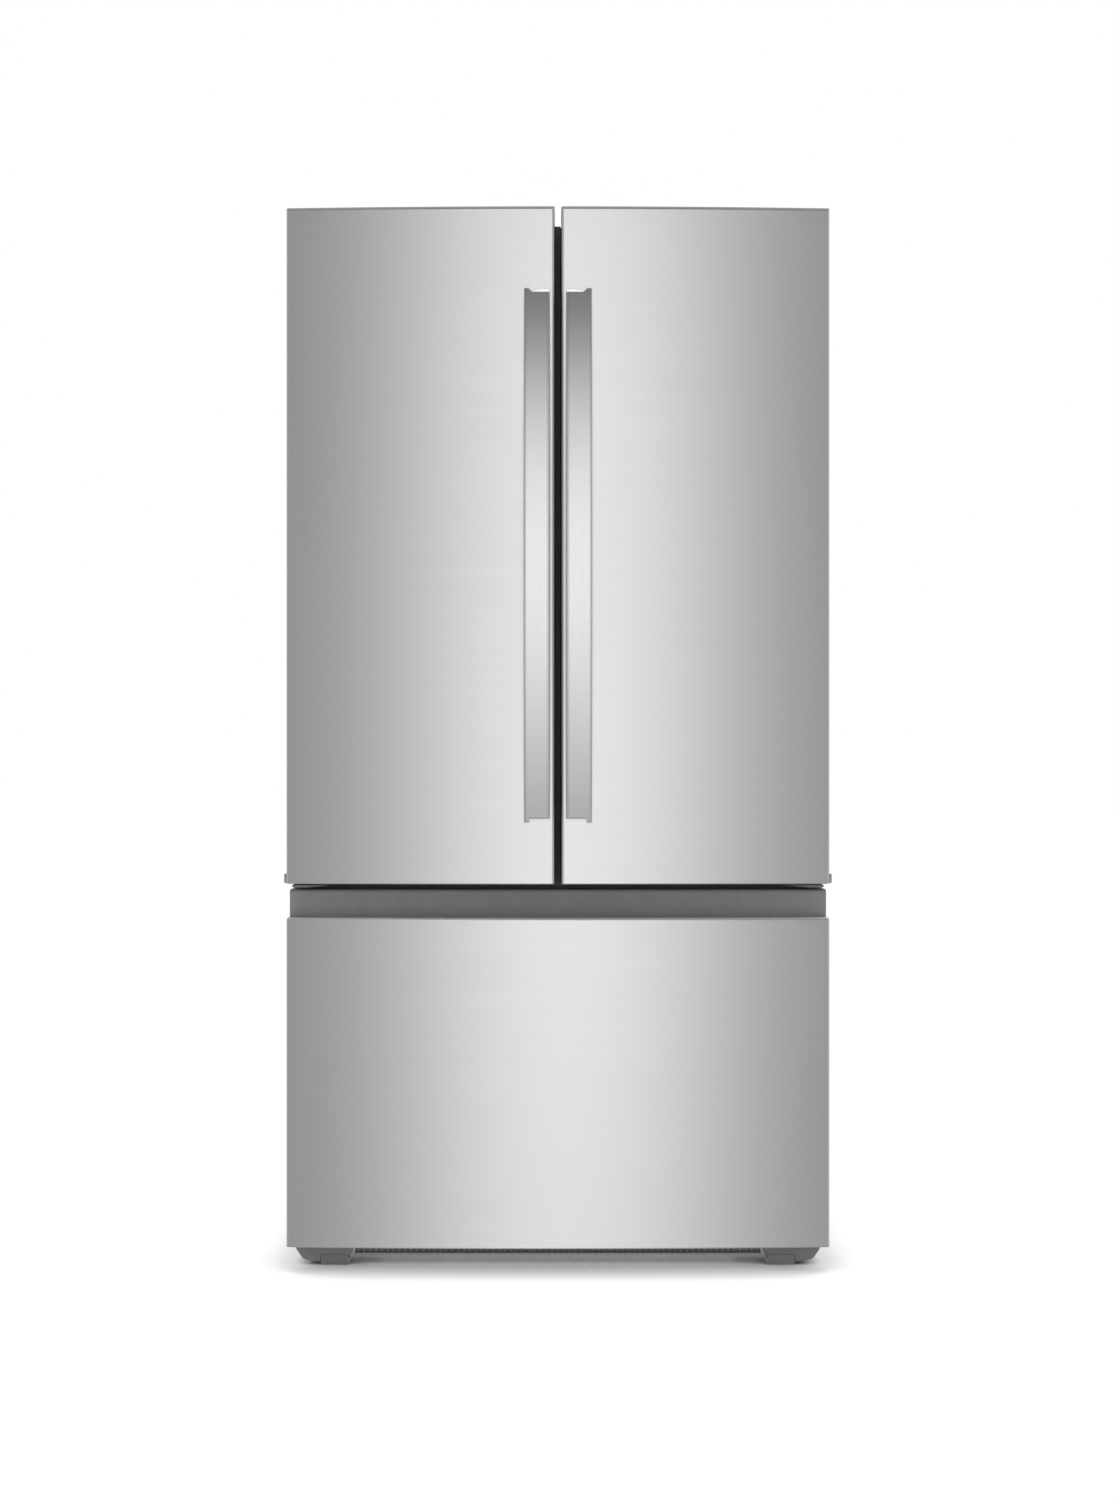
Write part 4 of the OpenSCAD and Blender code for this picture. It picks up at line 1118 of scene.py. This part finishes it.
def fan_part(axis, o, h0, h1, rh, rb, rt, nb, pitch):
    """Hub with a bore and curved, twisted blades."""
    p = Part()
    L = h1 - h0
    p.lathe(o, axis, [(h0, rb), (h0, rh - 2), (h0 + 2, rh), (h1 - 3, rh), (h1 - 1, rh - 1.2), (h1, rh - 4), (h1, rb)], seg=32, loop=True)
    for b in range(nb):
        a0 = 2 * pi * b / nb
        rings = []
        for i in range(9):
            r = rh - 1 + (rt - rh + 1) * i / 8
            half = (0.26 + 0.10 * sin(pi * i / 9)) * (1.0 if i < 8 else 0.8)
            sweep = 0.32 * (i / 8) ** 1.4
            ring_t, ring_b = [], []
            for j in range(7):
                u = -1 + 2 * j / 6
                ang = a0 + sweep + u * half * (1.25 - 0.35 * i / 8)
                hh = (h0 + h1) / 2 + u * L * 0.40 * pitch + 1.2 * (1 - u * u)
                ring_t.append((ang, r, hh + 0.7))
                ring_b.append((ang, r, hh - 0.7))
            full = ring_t + ring_b[::-1]
            ring = []
            for ang, rr_, hh in full:
                c, s_ = rr_ * cos(ang), rr_ * sin(ang)
                if axis == "y":
                    ring.append((o[0] + c, o[1] + hh, o[2] + s_))
                else:
                    ring.append((o[0] + hh, o[1] + c, o[2] + s_))
            rings.append(ring)
        p.loft(rings)
    return p


build("condenser_impeller", fan_part("x", (0, 335, 150), -76, -52, 16, 3.1, 66, 5, 1), M["black_plastic"], "condenser_fan",
      ["condenser_fan"], sharp=40)
build("evaporator_impeller", fan_part("y", (0, 0, 553), 324, 341, 12, 2.6, 40, 5, 1), M["white_plastic"], "evaporator_fan",
      ["evaporator_fan"], sharp=40)

# anything not dealt with keeps its shape and takes its slot's material
done = set()
for o in bpy.context.scene.objects:
    for n_ in o.get("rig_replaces", []):
        done.add(n_)
for n_, o in NODES.items():
    if n_ not in done and not o.modifiers:
        print("left over:", n_)
        keep(n_, M.get(SLOT_OF.get(n_, "grey_plastic"), M["grey_plastic"]))

# ------------------------------------------------------------------ floor, light, camera

me = bpy.data.meshes.new("floor")
me.from_pydata([(-30, -30, 0), (30, -30, 0), (30, 30, 0), (-30, 30, 0)], [], [(0, 1, 2, 3)])
floor = bpy.data.objects.new("floor", me)
bpy.context.scene.collection.objects.link(floor)
# The floor glows by emission instead of being lit. Painted shadow: ambient occlusion near the fridge darkens the
# emission through a ramp, giving the contact shadow under and in front of the fridge.
fm = bpy.data.materials.new("floor_glow_painted_shadow")
fm.use_nodes = True
nt = fm.node_tree
nt.nodes.remove(nt.nodes["Principled BSDF"])
out = nt.nodes["Material Output"]
ao = nt.nodes.new("ShaderNodeAmbientOcclusion")
ao.samples = 16
ao.inputs["Distance"].default_value = 0.16
painted_shadow_ramp = nt.nodes.new("ShaderNodeValToRGB")
stops = [(0.0, 0.06), (0.045, 0.11), (0.058, 0.20), (0.066, 0.33), (0.085, 0.46), (0.19, 0.53), (0.56, 0.70), (0.69, 0.95), (0.76, 1.0)]
painted_shadow_ramp.color_ramp.elements[0].position, painted_shadow_ramp.color_ramp.elements[1].position = stops[0][0], stops[-1][0]
for pos, val in stops[1:-1]:
    painted_shadow_ramp.color_ramp.elements.new(pos)
for e_, (pos, val) in zip(painted_shadow_ramp.color_ramp.elements, stops):
    e_.position = pos
    e_.color = (val, val, val, 1)
em = nt.nodes.new("ShaderNodeEmission")
em.inputs["Color"].default_value = (1.02, 1.02, 1.02, 1)
nt.links.new(ao.outputs["AO"], painted_shadow_ramp.inputs[0])
# Painted shadow: a short-range ambient occlusion darkens the emission further at the feet and under the drawer.
near = nt.nodes.new("ShaderNodeAmbientOcclusion")
near.samples = 16
near.inputs["Distance"].default_value = 0.06
soft = nt.nodes.new("ShaderNodeMapRange")
soft.inputs["From Min"].default_value = 0.08
soft.inputs["From Max"].default_value = 0.53
soft.inputs["To Min"].default_value = 0.12
soft.inputs["To Max"].default_value = 1.0
nt.links.new(near.outputs["AO"], soft.inputs["Value"])
painted_shadow_strength = nt.nodes.new("ShaderNodeMath")
painted_shadow_strength.operation = "MULTIPLY"
nt.links.new(painted_shadow_ramp.outputs[0], painted_shadow_strength.inputs[0])
nt.links.new(soft.outputs[0], painted_shadow_strength.inputs[1])
nt.links.new(painted_shadow_strength.outputs[0], em.inputs["Strength"])
nt.links.new(em.outputs[0], out.inputs["Surface"])
floor.data.materials.append(fm)
floor.visible_glossy = False

scene = bpy.context.scene
world = bpy.data.worlds.new("studio")
scene.world = world
world.use_nodes = True
try:
    world.cycles.sampling_method = "NONE"
except Exception as e:
    print("world sampling", e)
nt = world.node_tree
for n_ in list(nt.nodes):
    nt.nodes.remove(n_)
L = nt.links.new


def math_(op, a, b=None, clamp=False):
    n = nt.nodes.new("ShaderNodeMath")
    n.operation = op
    n.use_clamp = clamp
    for i, v in enumerate((a, b)):
        if v is None:
            continue
        if isinstance(v, (int, float)):
            n.inputs[i].default_value = v
        else:
            L(v, n.inputs[i])
    return n.outputs[0]


def gauss(v, mu, sigma):
    """exp(-((v - mu) / sigma)^2 / 2) with v in radians and mu, sigma in degrees."""
    d = math_("DIVIDE", math_("SUBTRACT", v, radians(mu)), radians(sigma))
    return math_("POWER", math.e, math_("MULTIPLY", math_("MULTIPLY", d, d), -0.5))


tc = nt.nodes.new("ShaderNodeTexCoord")
sp = nt.nodes.new("ShaderNodeSeparateXYZ")
L(tc.outputs["Generated"], sp.inputs[0])
X, Y, Z = sp.outputs[0], sp.outputs[1], sp.outputs[2]
az = math_("ARCTAN2", X, math_("MULTIPLY", Y, -1.0))
el = math_("ARCSINE", Z)
BASE, FRONT, SIG_AZ, AZ0, UP_EL, LOW_EL, MU_EL = 0.313, 1.77, 6.35, 0.45, 14.4, 17.4, 3.6
de = math_("SUBTRACT", el, radians(MU_EL))
over = math_("POWER", math_("DIVIDE", math_("MAXIMUM", de, 0.0), radians(UP_EL)), 2.26)
under = math_("POWER", math_("DIVIDE", math_("MAXIMUM", math_("MULTIPLY", de, -1.0), 0.0), radians(LOW_EL)), 2.0)
tall = math_("POWER", math.e, math_("MULTIPLY", math_("ADD", over, under), -0.5))
# the base level falls off overhead in front, where only the tilted handle tops look
dim = math_("MULTIPLY", math_("DIVIDE", math_("SUBTRACT", el, radians(19)), radians(11)), 1.0, clamp=True)
dim = math_("MULTIPLY", math_("MULTIPLY", dim, gauss(az, 0, 40)), 0.85)
base_lvl = math_("MULTIPLY", math_("SUBTRACT", 1.0, dim), BASE)
glossy = math_("ADD", math_("MULTIPLY", math_("MULTIPLY", gauss(az, AZ0, SIG_AZ), tall), FRONT), base_lvl)
wide = math_("ADD", math_("MULTIPLY", gauss(az, 43, 9), 0.52), math_("MULTIPLY", gauss(az, -43, 9), 0.42))
flank = math_("ADD", math_("MULTIPLY", gauss(az, 100, 18), 0.50), math_("MULTIPLY", gauss(az, -100, 18), 0.38))
rear = math_("MULTIPLY", math_("ADD", gauss(az, 172, 16), gauss(az, -172, 16)), 0.45)
up = math_("MULTIPLY", gauss(el, 80, 22), 0.5)
glossy = math_("ADD", math_("ADD", glossy, math_("ADD", wide, flank)), math_("ADD", rear, up))
diffuse = math_("ADD", math_("ADD", math_("MULTIPLY", Z, 0.30), 0.80), math_("ADD", math_("MULTIPLY", Y, -0.14), math_("MULTIPLY", X, -0.10)))
lp = nt.nodes.new("ShaderNodeLightPath")
isd = lp.outputs["Is Diffuse Ray"]
mixed = math_("ADD", math_("MULTIPLY", diffuse, isd), math_("MULTIPLY", glossy, math_("SUBTRACT", 1.0, isd)))
cam_ray = lp.outputs["Is Camera Ray"]
final = math_("ADD", math_("MULTIPLY", mixed, math_("SUBTRACT", 1.0, cam_ray)), cam_ray)
bg = nt.nodes.new("ShaderNodeBackground")
bg.inputs["Color"].default_value = (1, 1, 1, 1)
L(final, bg.inputs["Strength"])
wo = nt.nodes.new("ShaderNodeOutputWorld")
L(bg.outputs[0], wo.inputs["Surface"])

scene.view_settings.view_transform = "Standard"
scene.view_settings.look = "None"
scene.view_settings.exposure = 0.0
scene.view_settings.gamma = 1.0

cam_d = bpy.data.cameras.new("camera")
cam_d.lens = 64.845
cam_d.sensor_width = 36.0
cam_d.clip_start, cam_d.clip_end = 0.05, 100.0
cam = bpy.data.objects.new("camera", cam_d)
bpy.context.scene.collection.objects.link(cam)
cam.location = (0.0001, -4.895, 0.8754)
cam.rotation_euler = (pi / 2, 0, 0)
scene.camera = cam
